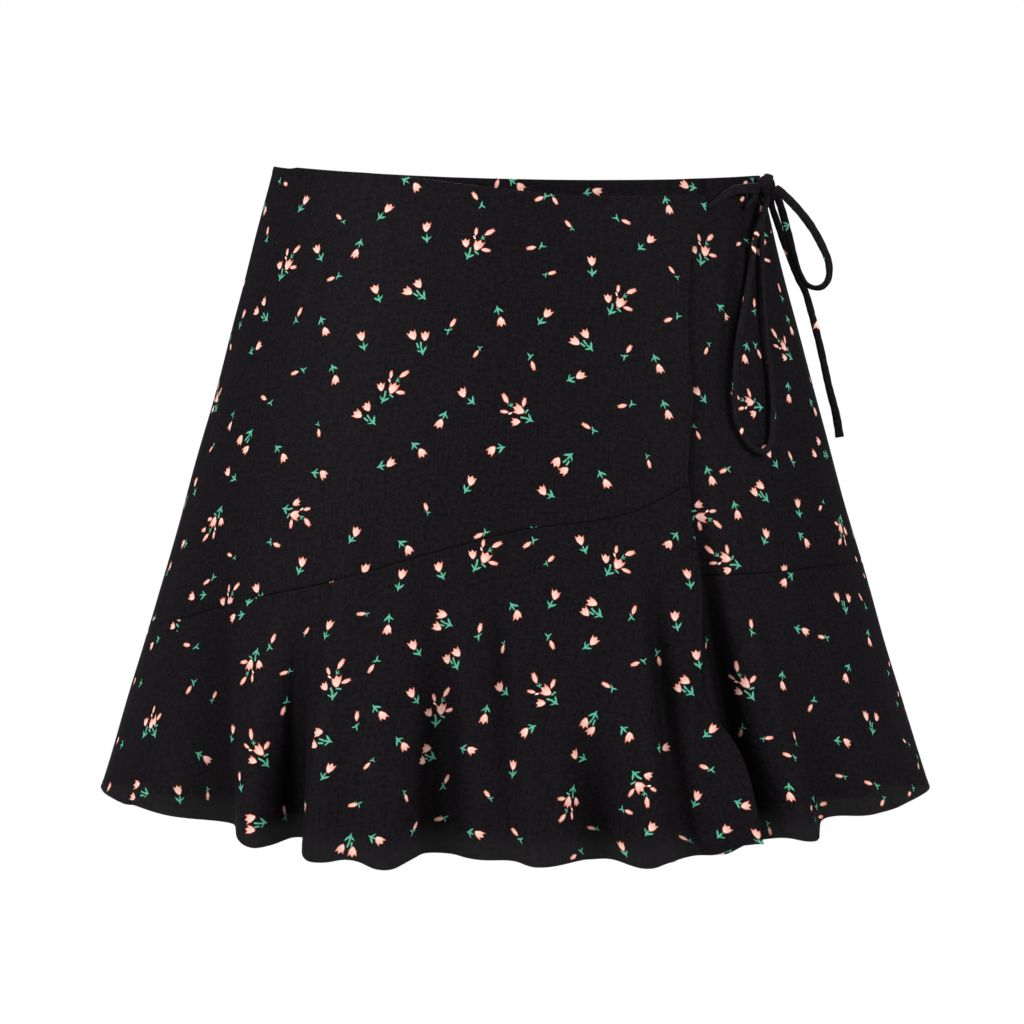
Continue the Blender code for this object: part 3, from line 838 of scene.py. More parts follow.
def shell_faces(columns, rows):
    """Quads of an outer and an inner grid of columns by rows points, joined round their edges."""
    index = np.arange(columns * rows).reshape(rows, columns)
    outer = np.stack([index[1:, :-1], index[1:, 1:], index[:-1, 1:], index[:-1, :-1]], axis=-1)
    outer = outer.reshape(-1, 4)
    inner = outer[:, ::-1] + columns * rows
    ring = np.concatenate([index[0, :-1], index[:-1, -1], index[-1, :0:-1], index[:0:-1, 0]])
    after = np.roll(ring, -1)
    rim = np.stack([ring, after, after + columns * rows, ring + columns * rows], axis=-1)
    return outer, inner, rim


def new_mesh(name, points, faces):
    mesh = bpy.data.meshes.new(name)
    mesh.from_pydata(points.tolist(), [], faces)
    mesh.shade_smooth()
    mesh.update()
    return mesh


def new_piece(collection, mesh, material):
    piece = bpy.data.objects.new(mesh.name, mesh)
    mesh.materials.append(material)
    collection.objects.link(piece)
    return piece


def store(mesh, name, domain, values):
    attribute = mesh.attributes.new(name, "FLOAT_VECTOR", domain)
    attribute.data.foreach_set("vector", np.ascontiguousarray(values, dtype=np.float32).ravel())


def store_print(mesh, corners, layers):
    """The flat cut as the mesh's UV map in metres, and the print's nearest marks on each face.

    Both are lists, one entry for each group of faces with the same number of corners.
    """
    uv_map = mesh.uv_layers.new(name="flat_cut")
    flat = np.concatenate([group.reshape(-1, 2) for group in corners])
    uv_map.uv.foreach_set("vector", np.ascontiguousarray(flat, dtype=np.float32).ravel())
    for name in layers[0]:
        store(mesh, name, "CORNER", np.concatenate([part[name].reshape(-1, 3) for part in layers]))


def panel_grid(panel):
    """The angle and drop of each point of a panel's grid, and its distances to the four edges."""
    shares, offsets = edge_lines(panel.columns)
    walked, samples = even_shares(panel)
    shares = np.interp(shares, walked, samples)
    downs, down_offsets = edge_lines(panel.rows)
    left = panel.left(downs)[:, None]
    right = panel.right(downs)[:, None]
    angle = left + shares[None, :] * (right - left)
    top = panel.top(angle)
    bottom = panel.bottom(angle)
    drop = top + downs[:, None] * (bottom - top) + down_offsets[:, None]
    rate = arc_rate(angle, drop)
    angle = angle + offsets[None, :] / rate
    distances = (drop - top, bottom - drop, (angle - left) * rate, (right - angle) * rate)
    return angle, drop, tuple(np.maximum(distance, 0.0) for distance in distances)


def unit(vectors):
    return vectors / np.linalg.norm(vectors, axis=-1, keepdims=True)


def grid_normals(points):
    return unit(np.cross(np.gradient(points, axis=0), np.gradient(points, axis=1)))


def shell_points(panel, points, distances):
    """The outer and the inner face's points, with the panel's hems and pinched seams."""
    outer = 0.5 * CLOTH
    inner = -0.5 * CLOTH
    closing = 1.0
    for finish, distance in zip(panel.finish, distances):
        outer_move, inner_move, closed = edge_form(finish, distance)
        outer = outer + outer_move
        inner = inner + inner_move
        closing = np.minimum(closing, closed)
    middle = 0.5 * (outer + inner)
    half = 0.5 * (outer - inner) * closing
    normals = grid_normals(points)
    sides = (points + normals * move[..., None] for move in (middle + half, middle - half))
    return np.concatenate([side.reshape(-1, 3) for side in sides])


def store_trim(mesh, panel, angle, drop, distances):
    """What the materials need: the distance to the hem, the painted shade, and 1 on the reverse."""
    hem = nearest_edge(panel.finish, distances, HEMMED)
    shade = painted_shade(panel, angle, drop, distances)
    trim = np.stack([hem, shade, 0.0 * drop], axis=-1).reshape(-1, 3)
    reverse = trim.copy()
    reverse[:, 2] = 1.0
    store(mesh, "trim", "POINT", np.concatenate([trim, reverse]))


def add_panel(collection, panel, cloth_print, material):
    """A thin closed shell of cloth on its solid's form, with hems, pinched seams and its print."""
    angle, drop, distances = panel_grid(panel)
    points = draped(angle, drop, panel.push)
    rows, columns = angle.shape
    outer_faces, inner_faces, rim_faces = shell_faces(columns, rows)
    faces = np.concatenate([outer_faces, inner_faces, rim_faces])
    mesh = new_mesh(panel.name, shell_points(panel, points, distances), faces.tolist())
    flat = flat_cut(panel).place(angle, drop)
    both_sides = np.tile(flat.reshape(-1, 2), (2, 1))
    outer_layers = cloth_print.layers(both_sides[outer_faces])
    inner_layers = {name: values[:, ::-1] for name, values in outer_layers.items()}
    rim_layers = cloth_print.layers(both_sides[rim_faces])
    store_print(mesh, [both_sides[faces]], [outer_layers, inner_layers, rim_layers])
    store_trim(mesh, panel, angle, drop, distances)
    return new_piece(collection, mesh, material), flat_size(points, flat)


# Painted shade: the share by which the cloth's colour is darkened at the bottom of a fold this deep,
# in the groove of a seam and on both sides of the wrap's edge, where little light reaches.
VALLEY_SHADE = 0.42
VALLEY_DEPTH = 0.009
GROOVE_SHADE = 0.54
GROOVE_WIDTH = 0.0009
LAP_SHADE = 0.52
LAP_WIDTH = 0.006


def painted_shade(panel, angle, drop, distances):
    """Painted shade darkening the colour in valleys, in seams and, on the underlap, by the wrap's edge.
    """
    # Painted shade at the bottom of folds and in the grooves of seams.
    valley = np.clip(-panel.push(angle, drop) / VALLEY_DEPTH, 0.0, 1.0)
    groove = np.clip(1.0 - nearest_edge(panel.finish, distances, SEAM) / GROOVE_WIDTH, 0.0, 1.0)
    kept = (1.0 - VALLEY_SHADE * valley) * (1.0 - GROOVE_SHADE * groove)
    # Painted shadow on the underlap, on both sides of the wrap's edge.
    if panel.push is underlap_push:
        edge = table_curve(WRAP_EDGE, drop)
        beyond = (angle - edge) * arc_rate(angle, drop)
        kept = kept * (1.0 - LAP_SHADE * (1.0 - smooth_step(abs(beyond) / LAP_WIDTH)))
    return 1.0 - kept


def nearest_edge(finishes, distances, wanted):
    """The distance to the nearest edge with that finish, or a metre where there is none."""
    nearest = np.full_like(distances[0], 1.0)
    for finish, distance in zip(finishes, distances):
        if finish == wanted:
            nearest = np.minimum(nearest, distance)
    return nearest


CUT_EDGE_SAMPLES = 40
CUT_MARGIN = 4.0


def flat_cut(panel):
    """A panel's flat cut, centred on the middle of its lower edge."""
    downs = np.array([0.0, 0.5, 1.0])
    left = panel.left(downs)
    right = panel.right(downs)
    round_edge = np.linspace(left.min(), right.max(), CUT_EDGE_SAMPLES)
    highest = panel.top(round_edge).min()
    lowest = panel.bottom(round_edge).max()
    first = left.min() - CUT_MARGIN
    last = right.max() + CUT_MARGIN
    return FlatCut(panel.push, first, last, highest, lowest, 0.5 * (left[-1] + right[-1]))


def flat_size(points, flat):
    """The width and length of a panel's flat cut, and its area."""
    span = flat.reshape(-1, 2).max(axis=0) - flat.reshape(-1, 2).min(axis=0)
    first = points[1:, 1:] - points[:-1, :-1]
    second = points[1:, :-1] - points[:-1, 1:]
    area = 0.5 * np.linalg.norm(np.cross(first, second), axis=2).sum()
    return float(span[0]), float(span[1]), float(area)


EDGE_STEPS = 12


def edge_angle(edge, top, bottom):
    """The angle of a side edge at each share of the way down a panel."""

    def angle_at(share):
        if isinstance(edge, float):
            return np.full_like(share, edge)
        angle = np.full_like(share, edge[0][1])
        for _ in range(EDGE_STEPS):
            drop = top(angle) + share * (bottom(angle) - top(angle))
            angle = table_curve(edge, drop)
        return angle

    return angle_at


# The skirt's three cuts, each an upper panel and the flounce below its seam. A side edge is the
# angle of a side seam, or the table of a free edge. The grids are the panels' columns and rows.
Cut = namedtuple("Cut", "name push top seam left right left_finish right_finish grids charts")
CUTS = (
    Cut(
        "front_wrap", wrap_push, wrap_top_drop, wrap_seam_drop, LEFT_SIDE, WRAP_EDGE,
        SIDE_SEAM, HEMMED, ((170, 120), (340, 90)), (WRAP_ROWS, WRAP_FLOUNCE_ROWS),
    ),
    Cut(
        "underlap", underlap_push, waist_drop, back_seam_drop, UNDERLAP_EDGE, RIGHT_SIDE,
        HEMMED, SIDE_SEAM, ((180, 120), (230, 84)), (UNDERLAP_ROWS, UNDERLAP_FLOUNCE_ROWS),
    ),
    Cut(
        "back", shared_push, waist_drop, back_seam_drop, RIGHT_SIDE, LEFT_SIDE + 360.0,
        SIDE_SEAM, SIDE_SEAM, ((210, 110), (380, 80)), (WRAP_ROWS, WRAP_FLOUNCE_ROWS),
    ),
)


def panels_of(cut):
    """A cut's upper panel and its flounce."""
    drops = (cut.top, cut.seam, hem_drop)
    finishes = (FACED, SEAM, HEMMED)
    kinds = (("", "_upper", "draped"), ("_flounce", "_flounce", "hung"))
    made = []
    for at, (name_end, node_end, held) in enumerate(kinds):
        top, bottom = drops[at : at + 2]
        left = edge_angle(cut.left, top, bottom)
        right = edge_angle(cut.right, top, bottom)
        finish = Finish(*finishes[at : at + 2], cut.left_finish, cut.right_finish)
        names = (f"cloth_{cut.name}{name_end}", cut.name + node_end)
        shape = (cut.push, left, right, top, bottom, finish)
        made.append(Panel(*names, *shape, *cut.grids[at], cut.charts[at], held))
    return made


PANELS = [panel for cut in CUTS for panel in panels_of(cut)]


# ---- Materials, written as arithmetic on shader nodes ----


class Graph:
    """A material's nodes."""

    def __init__(self, material):
        self.tree = material.node_tree
        self.shader = self.tree.nodes["Principled BSDF"]

    def add(self, kind, **settings):
        node = self.tree.nodes.new(kind)
        for name, value in settings.items():
            setattr(node, name, value)
        return node

    def feed(self, socket, value):
        if isinstance(value, Term):
            value = value.socket
        if isinstance(value, bpy.types.NodeSocket):
            self.tree.links.new(value, socket)
        else:
            socket.default_value = value

    def math(self, operation, *values):
        node = self.add("ShaderNodeMath", operation=operation)
        for socket, value in zip(node.inputs, values):
            self.feed(socket, value)
        return Term(self, node.outputs[0])

    def step(self, value, low, high, start=0.0, end=1.0):
        """Goes smoothly from start to end as value goes from low to high."""
        node = self.add("ShaderNodeMapRange", interpolation_type="SMOOTHSTEP")
        for socket, number in zip(node.inputs, (value, low, high, start, end)):
            self.feed(socket, number)
        return Term(self, node.outputs[0])

    def mix(self, share, first, second):
        node = self.add("ShaderNodeMix", data_type="RGBA")
        self.feed(node.inputs["Factor"], share)
        colours = [socket for socket in node.inputs if socket.type == "RGBA"]
        self.feed(colours[0], first)
        self.feed(colours[1], second)
        return [socket for socket in node.outputs if socket.type == "RGBA"][0]

    def scaled(self, colour, share):
        node = self.add("ShaderNodeVectorMath", operation="SCALE")
        self.feed(node.inputs[0], colour)
        self.feed(node.inputs["Scale"], share)
        return node.outputs[0]

    def parts(self, name):
        """The three numbers of a mesh attribute."""
        return self.split(self.add("ShaderNodeAttribute", attribute_name=name).outputs["Vector"])

    def split(self, vector):
        node = self.add("ShaderNodeSeparateXYZ")
        self.feed(node.inputs[0], vector)
        return [Term(self, socket) for socket in node.outputs]

    def mark(self, name):
        """The place in a mark of the print, in half heights, with the mark's kind and lean."""
        x, y, code = self.parts(name)
        return x, y, self.math("FLOOR", code), (self.math("FRACT", code) - 0.5) / LEAN_SHARE

    def noise(self, vector, scale, detail=2.0, roughness=0.5):
        node = self.add("ShaderNodeTexNoise")
        settings = {"Vector": vector, "Scale": scale, "Detail": detail, "Roughness": roughness}
        for name, value in settings.items():
            self.feed(node.inputs[name], value)
        return Term(self, node.outputs[0])

    def stretched(self, vector, scale):
        node = self.add("ShaderNodeMapping")
        self.feed(node.inputs["Vector"], vector)
        self.feed(node.inputs["Scale"], scale)
        return node.outputs[0]


class Term:
    """A number at each point of a surface."""

    def __init__(self, graph, socket):
        self.graph = graph
        self.socket = socket

    def __add__(self, other):
        return self.graph.math("ADD", self, other)

    def __sub__(self, other):
        return self.graph.math("SUBTRACT", self, other)

    def __rsub__(self, other):
        return self.graph.math("SUBTRACT", other, self)

    def __mul__(self, other):
        return self.graph.math("MULTIPLY", self, other)

    def __truediv__(self, other):
        return self.graph.math("DIVIDE", self, other)

    def __abs__(self):
        return self.graph.math("ABSOLUTE", self)

    def least(self, other):
        return self.graph.math("MINIMUM", self, other)

    def most(self, other):
        return self.graph.math("MAXIMUM", self, other)

    def zigzag(self, period):
        """A wave of straight lines: 0 at 0 and at each period, 1 halfway."""
        return abs(self.graph.math("FRACT", self / period + 0.5) - 0.5) * 2.0


GROUND = (0.0032, 0.0028, 0.0032, 1.0)
GROUND_LIGHT = (0.0078, 0.0066, 0.0078, 1.0)
PETAL = (0.65, 0.355, 0.29, 1.0)
PETAL_LIGHT = (0.75, 0.53, 0.47, 1.0)
PETAL_DEEP = (0.6, 0.18, 0.13, 1.0)
PETAL_EDGE = (0.52, 0.17, 0.12, 1.0)
PETAL_LINE = (0.56, 0.2, 0.145, 1.0)
OUTLINE = (0.06, 0.008, 0.006, 1.0)
LEAF_GREEN = (0.024, 0.25, 0.135, 1.0)
LEAF_LIGHT = (0.11, 0.34, 0.245, 1.0)
STEM_WHITE = (0.8, 0.68, 0.6, 1.0)

# The see-through of the flounces shows towards the hem, where nothing hangs behind it.
HEM_GLOW_TOP = 0.026
HEM_GLOW_FOOT = 0.004
FLOUNCE_SEE_THROUGH = 0.075

# The print is weaker on the cloth's reverse.
REVERSE_FADE = 0.45

# The stitches' and the crepe's relief, the crepe's roughness and its sheen.
STITCH_LENGTH = 0.0022
STITCH_DEPTH = 0.8
BUMP_STRENGTH = 0.5
CREPE_RELIEF = 0.00022
ROUGHNESS = 0.62
ROUGHNESS_SPREAD = 0.06
PANEL_SHEEN = 0.002
TIE_SHEEN = 0.012


def tulip_shape(graph, x, y, lean):
    """How deep inside a tulip head a point is, in half heights: a cup with three tips."""
    shifted = x - lean * 0.16 * (y + 1.0)
    away = abs(shifted)
    side = graph.step(y, -1.25, -0.1, 0.26, 0.74) + y * 0.13 - away
    crown = 1.0 - away * 0.24 - shifted.zigzag(0.84) * 0.42 - y
    return side.least(crown).least(y + 1.0 - away * 0.25)


def bud_shape(graph, x, y):
    """How deep inside a bud a point is: a narrow cup with two short tips."""
    away = abs(x)
    width = graph.step(y, -1.15, -0.2, 0.08, 0.41) - graph.step(y, 0.05, 1.1) * 0.18
    crown = 1.0 - abs(away - 0.2) * 0.9 - y
    return (width - away).least(crown).least(y + 1.0)


# The share of its taper at which a blade is as wide as it gets.
BLADE_FULLNESS = 0.55


def blade(x, y, foot, tip, width, belly):
    """How deep inside a leaf's blade a point is: pointed at both ends, widest at the belly."""
    right = tip[0] - foot[0]
    up = tip[1] - foot[1]
    size = math.hypot(right, up)
    from_foot = y - foot[1]
    beside = x - foot[0]
    along = (beside * (right / size) + from_foot * (up / size)) / size
    away = abs(beside * (up / size) - from_foot * (right / size))
    taper = (along / belly).least((1.0 - along) / (1.0 - belly))
    return taper.least(BLADE_FULLNESS) * (width / BLADE_FULLNESS) - away


def leaf_shape(x, y, lean):
    """Three thin blades that fork from the leaf's stalk towards the flower."""
    side = x * x.graph.math("SIGN", lean)
    stalk = blade(side, y, (0.02, -1.1), (-0.08, 1.0), 0.17, 0.32)
    right = blade(side, y, (-0.12, -0.72), (1.0, 0.5), 0.19, 0.45)
    left = blade(side, y, (0.14, -0.58), (-0.95, 0.22), 0.14, 0.45)
    return stalk.most(right).most(left)


def star_shape(x, y, lean):
    """Three thin leaves that meet, below a bud."""
    side = x * x.graph.math("SIGN", lean)
    first = blade(side, y, (0.42, -1.1), (-0.1, 0.75), 0.18, 0.6)
    second = blade(side, y, (-1.1, -0.15), (0.45, 0.25), 0.18, 0.55)
    third = blade(side, y, (-0.2, 0.0), (0.8, 1.05), 0.17, 0.4)
    return first.most(second).most(third)


def cloth_ground(graph, cut):
    """Near-black crepe, very slightly clouded, with faint slubs along the threads.

    Here and in the relief, a noise's scale is its waves in a metre of cloth.
    """
    cloud = graph.noise(cut, 420.0, 3.0, 0.7)
    slub = graph.noise(graph.stretched(cut, (850.0, 60.0, 1.0)), 1.0, 2.0)
    cross_slub = graph.noise(graph.stretched(cut, (80.0, 900.0, 1.0)), 1.0, 2.0)
    share = graph.step(cloud * 0.6 + slub * 0.25 + cross_slub * 0.15, 0.36, 0.64)
    return graph.mix(share, GROUND, GROUND_LIGHT)


def with_leaf(graph, colour, name, rough_edge, show):
    """A colour with a leaf, a sprig or a star of leaves printed over it."""
    x, y, kind, lean = graph.mark(name)
    is_leaf = graph.math("LESS_THAN", kind, 1.5)
    is_star = graph.math("GREATER_THAN", kind, 2.5)
    sprig = (0.3 - abs(x)).least(1.0 - abs(y))
    shape = leaf_shape(x, y, lean) * is_leaf + star_shape(x, y, lean) * is_star
    depth = shape + sprig * (1.0 - is_leaf - is_star) + rough_edge
    shade = graph.mix(graph.step(depth, 0.0, 0.14), LEAF_GREEN, LEAF_LIGHT)
    return graph.mix(graph.step(depth, -0.05, 0.05) * show, colour, shade)


def petal_shade(graph, x, y, lean, is_head, is_stem, depth):
    """The shade inside a flower: lighter below, flushed above, lined, with a deep edge."""
    shade = graph.mix(graph.step(x * -0.5 - y * 0.75, -0.6, 0.9), PETAL, PETAL_LIGHT)
    flush = graph.step(x * 0.5 + y * 0.8 + lean * 0.2, 0.75, 1.4) * 0.7
    shade = graph.mix(flush, shade, PETAL_DEEP)
    fan = abs(abs(x) - (y + 1.3) * 0.21)
    line = (1.0 - graph.step(fan, 0.02, 0.1)) * graph.step(y, -0.4, 0.3) * 0.3 * is_head
    shade = graph.mix(line, shade, PETAL_LINE)
    shade = graph.mix(is_stem, shade, STEM_WHITE)
    return graph.mix(graph.step(depth, 0.05, 0.22, 0.75, 0.0), shade, PETAL_EDGE)


def with_flower(graph, colour, name, rough_edge, show):
    """A colour with a tulip head, a bud or a piece of stem printed over it."""
    x, y, kind, lean = graph.mark(name)
    is_head = graph.math("LESS_THAN", kind, 1.5)
    is_stem = graph.math("GREATER_THAN", kind, 2.5)
    head = tulip_shape(graph, x, y, lean)
    depth = head * is_head + bud_shape(graph, x, y) * (1.0 - is_head) + rough_edge
    shade = petal_shade(graph, x, y, lean, is_head, is_stem, depth)
    colour = graph.mix(graph.step(depth, -0.24, -0.06) * show * 0.95, colour, OUTLINE)
    return graph.mix(graph.step(depth, -0.04, 0.05) * show, colour, shade)


def printed(graph, colour, cut, show):
    """The print over a ground's colour. Show is how strongly it shows."""
    rough_edge = (graph.noise(cut, 1500.0, 1.0) - 0.5) * 0.14
    for name in ("leaf_b", "leaf_a"):
        colour = with_leaf(graph, colour, name, rough_edge, show)
    for name in ("flower_b", "flower_a"):
        colour = with_flower(graph, colour, name, rough_edge, show)
    return colour


def crepe_height(graph, cut):
    """The pebbled crepe grain with its threads, as a height."""
    pebble = graph.noise(cut, 1900.0, 2.0, 0.6)
    grain = graph.noise(graph.stretched(cut, (2600.0, 1300.0, 1.0)), 1.0, 2.0)
    crinkle = graph.noise(cut, 330.0, 2.0)
    return pebble * 0.45 + grain * 0.35 + crinkle * 0.5


def hem_stitches(graph, hem_distance, cut):
    """A row of stitches just inside the hem's fold, as short dents in the height."""
    row = 1.0 - graph.step(abs(hem_distance - STITCH_PLACE), 0.0001, STITCH_WIDTH)
    across, up, _ = graph.split(cut)
    return row * graph.step((across + up).zigzag(STITCH_LENGTH), 0.25, 0.5)


def new_material(name):
    material = bpy.data.materials.new(name)
    material.use_nodes = True
    return material


def set_inputs(shader, settings):
    for name, value in settings.items():
        shader.inputs[name].default_value = value


def crepe_material(name, sheen, see_through=0.0):
    """Printed crepe. See_through is the share of light that passes at a free hem."""
    material = new_material(name)
    graph = Graph(material)
    cut = graph.add("ShaderNodeUVMap", uv_map="flat_cut").outputs[0]
    hem_distance, painted_shade_and_light, reverse = graph.parts("trim")
    colour = printed(graph, cloth_ground(graph, cut), cut, 1.0 - reverse * REVERSE_FADE)
    height = crepe_height(graph, cut) - hem_stitches(graph, hem_distance, cut) * STITCH_DEPTH
    bump = graph.add("ShaderNodeBump")
    set_inputs(bump, {"Strength": BUMP_STRENGTH, "Distance": CREPE_RELIEF})
    graph.feed(bump.inputs["Height"], height)
    shader = graph.shader
    # The colour is darkened by painted shade, and on the ties it is lightened by painted light.
    graph.feed(shader.inputs["Base Color"], graph.scaled(colour, 1.0 - painted_shade_and_light))
    graph.feed(shader.inputs["Normal"], bump.outputs[0])
    patches = graph.noise(cut, 240.0, 2.0)
    rough = graph.step(patches, 0.3, 0.7, ROUGHNESS - ROUGHNESS_SPREAD, ROUGHNESS + ROUGHNESS_SPREAD)
    graph.feed(shader.inputs["Roughness"], rough)
    if see_through:
        share = graph.step(hem_distance, HEM_GLOW_FOOT, HEM_GLOW_TOP, see_through, 0.0)
        graph.feed(shader.inputs["Alpha"], 1.0 - share)
    set_inputs(
        shader,
        {
            "Sheen Weight": sheen,
            "Sheen Roughness": 0.4,
            "Sheen Tint": (0.95, 0.93, 1.0, 1.0),
            "Specular IOR Level": 0.02,
        },
    )
    return material


# ---- The ties and the bow ----

KNOT_PLACE = Vector((0.149, -0.026, -0.011))

# A tie that rests on the skirt has a route of angles, drops and lifts off it. One that hangs in
# the air has a route of points.
WRAP_TIE_ROUTE = (
    (46.8, 0.0265, 0.0036), (49.5, 0.0235, 0.0034), (54.0, 0.0185, 0.0033), (59.0, 0.015, 0.0034),
    (64.0, 0.014, 0.004), (69.6, 0.013, 0.0052),
)
SIDE_TIE_ROUTE = (
    (103.5, 0.0085, 0.0032), (98.0, 0.0085, 0.0033), (92.0, 0.009, 0.0036), (86.0, 0.0096, 0.0044),
    (81.0, 0.0102, 0.006),
)
LEFT_LOOP_ROUTE = (
    (71.6, 0.0192, 0.0082), (67.8, 0.027, 0.0078), (64.1, 0.0354, 0.0066), (60.6, 0.046, 0.0053),
    (58.0, 0.0579, 0.0045), (52.8, 0.0808, 0.004), (48.4, 0.1017, 0.0038), (45.4, 0.1223, 0.0037),
    (43.6, 0.1398, 0.0037), (43.2, 0.1526, 0.0037), (44.4, 0.1625, 0.0038), (46.3, 0.1683, 0.0039),
    (48.6, 0.1695, 0.004), (50.6, 0.165, 0.004), (52.2, 0.1565, 0.0039), (54.1, 0.1423, 0.0038),
    (55.8, 0.1246, 0.0037), (57.3, 0.104, 0.0036), (59.6, 0.0803, 0.0036), (63.4, 0.0562, 0.0036),
    (68.9, 0.0319, 0.0036), (73.4, 0.02, 0.0035),
)
SHORT_END_ROUTE = (
    (69.2, 0.0178, 0.0033), (66.5, 0.0202, 0.0029), (63.6, 0.0232, 0.0026), (61.8, 0.0255, 0.0026),
)
RIGHT_LOOP_ROUTE = (
    (0.1545, -0.0305, -0.0128), (0.1588, -0.0318, -0.016), (0.168, -0.0325, -0.0256),
    (0.1757, -0.0328, -0.0357), (0.1817, -0.0328, -0.0464), (0.1857, -0.0325, -0.0562),
    (0.1861, -0.0318, -0.065), (0.1832, -0.0307, -0.0703), (0.1785, -0.0294, -0.0717),
    (0.1731, -0.0282, -0.0694), (0.1693, -0.0272, -0.0627), (0.1662, -0.0264, -0.0542),
    (0.1626, -0.0258, -0.0406), (0.1602, -0.0255, -0.0311), (0.1575, -0.0254, -0.0216),
    (0.1553, -0.0255, -0.016),
)
LONG_END_ROUTE = (
    (0.1519, -0.0205, -0.0176), (0.1532, -0.0196, -0.0235), (0.156, -0.0188, -0.0314),
    (0.1596, -0.0182, -0.0421), (0.1638, -0.0178, -0.0528), (0.1686, -0.0174, -0.0647),
    (0.1728, -0.017, -0.0726), (0.1764, -0.0165, -0.0845), (0.1818, -0.0158, -0.1052),
    (0.1872, -0.0151, -0.1296), (0.1914, -0.0146, -0.1457), (0.1938, -0.0143, -0.16),
)
TIE_SPACING = 0.0016
TIE_SIDES = 14
CURVE_STEPS = 24
FEWEST_STEPS = 4

# How square the two ways across a tie's section are, and how unevenly the tie is filled.
SIDE_SQUARENESS = 0.75
FRONT_SQUARENESS = 0.85
TIE_PUFF = 0.05

# Painted light: the share by which the rounded ties are painted lighter than the cloth behind them.
TIE_PAINTED_LIGHT = 0.28

# A tie's section at a share of its length: its width, its thickness and its twist in degrees.
Section = namedtuple("Section", "share width thick twist", defaults=(0.0,))
WRAP_TIE_SECTIONS = (
    Section(0.0, 0.0026, 0.0016), Section(0.25, 0.0042, 0.0018), Section(0.7, 0.0058, 0.0022),
    Section(1.0, 0.0066, 0.003),
)
PLAIN_SECTIONS = (
    Section(0.0, 0.0044, 0.0026), Section(1.0, 0.0044, 0.0026),
)
LEFT_LOOP_SECTIONS = (
    Section(0.0, 0.004, 0.0028), Section(0.3, 0.0042, 0.0022), Section(0.5, 0.0036, 0.0024, 20.0),
    Section(0.6, 0.0042, 0.0022), Section(1.0, 0.004, 0.0026),
)
RIGHT_LOOP_SECTIONS = (
    Section(0.0, 0.0052, 0.003), Section(0.3, 0.0048, 0.0026), Section(0.5, 0.004, 0.0026, 35.0),
    Section(0.62, 0.003, 0.0026, 60.0), Section(0.75, 0.0044, 0.0026, 15.0), Section(1.0, 0.0046, 0.0028),
)
LONG_END_SECTIONS = (
    Section(0.0, 0.004, 0.0026), Section(0.6, 0.0044, 0.0024), Section(0.9, 0.0048, 0.0022),
    Section(1.0, 0.0053, 0.0019),
)
SHORT_END_SECTIONS = (
    Section(0.0, 0.0034, 0.0022), Section(1.0, 0.0026, 0.0012),
)


def resting(rows):
    return [tuple(on_body(angle, drop, lift)) for angle, drop, lift in rows]


def smooth_path(points):
    """Even, close steps along a smooth curve through listed points."""
    path = [Vector(point) for point in points]
    dense = []
    for index, (start, end) in enumerate(zip(path, path[1:])):
        before = path[max(index - 1, 0)]
        after = path[min(index + 2, len(path) - 1)]
        first_handle = start + (end - before) / 6.0
        second_handle = end - (after - start) / 6.0
        dense.extend(interpolate_bezier(start, first_handle, second_handle, end, CURVE_STEPS)[:-1])
    dense.append(path[-1])
    dense = np.array(dense)
    walked = walked_length(dense)
    count = max(FEWEST_STEPS, round(walked[-1] / TIE_SPACING))
    even = np.linspace(0.0, walked[-1], count + 1)
    return np.stack([np.interp(even, walked, dense[:, axis]) for axis in range(3)], axis=1), walked[-1]


def squared(wave, squareness):
    return np.sign(wave) * np.abs(wave) ** squareness


def tube(path, sections, facing, closed_ring=False):
    """Rings of points for a flat tube along a path. Facing is where its flat side looks."""
    shares = np.linspace(0.0, 1.0, len(path))
    width, thick, twist = [table_curve(sections, shares, column) for column in (1, 2, 3)]
    if closed_ring:
        tangents = unit(np.roll(path, -1, axis=0) - np.roll(path, 1, axis=0))
    else:
        tangents = unit(np.gradient(path, axis=0))
    across = unit(np.cross(tangents, facing))
    out = np.cross(across, tangents)
    turn = np.radians(twist)[:, None]
    side = across * np.cos(turn) + out * np.sin(turn)
    front = out * np.cos(turn) - across * np.sin(turn)
    around = np.linspace(0.0, 2.0 * math.pi, TIE_SIDES, endpoint=False)
    round_side = squared(np.cos(around), SIDE_SQUARENESS)
    round_front = squared(np.sin(around), FRONT_SQUARENESS)
    steps = np.arange(len(path))
    puff = 1.0 + TIE_PUFF * np.sin(steps * 1.1) * np.sin(steps * 0.37)
    return (
        path[:, None, :]
        + side[:, None, :] * (0.5 * width * puff)[:, None, None] * round_side[None, :, None]
        + front[:, None, :] * (0.5 * thick * puff)[:, None, None] * round_front[None, :, None]
    )


def tube_faces(count, sides, closed_ring):
    """Quads round a tube of count rings, and each corner's step along and around."""
    faces = []
    steps = []
    last = count if closed_ring else count - 1
    for ring in range(last):
        here = ring * sides
        beyond = (ring + 1) % count * sides
        for place in range(sides):
            after = (place + 1) % sides
            faces.append([here + place, beyond + place, beyond + after, here + after])
            steps.append([[ring, place], [ring + 1, place], [ring + 1, place + 1], [ring, place + 1]])
    return faces, steps


def cap_faces(ring, centre, sides, at_start):
    """Triangles that fill a tube's end, and each corner's step along and around."""
    faces = []
    steps = []
    for place in range(sides):
        pair = [[ring, place], [ring, place + 1]]
        if not at_start:
            pair.reverse()
        faces.append([ring * sides + step[1] % sides for step in pair] + [centre])
        steps.append(pair + [[ring, place + 0.5]])
    return faces, steps


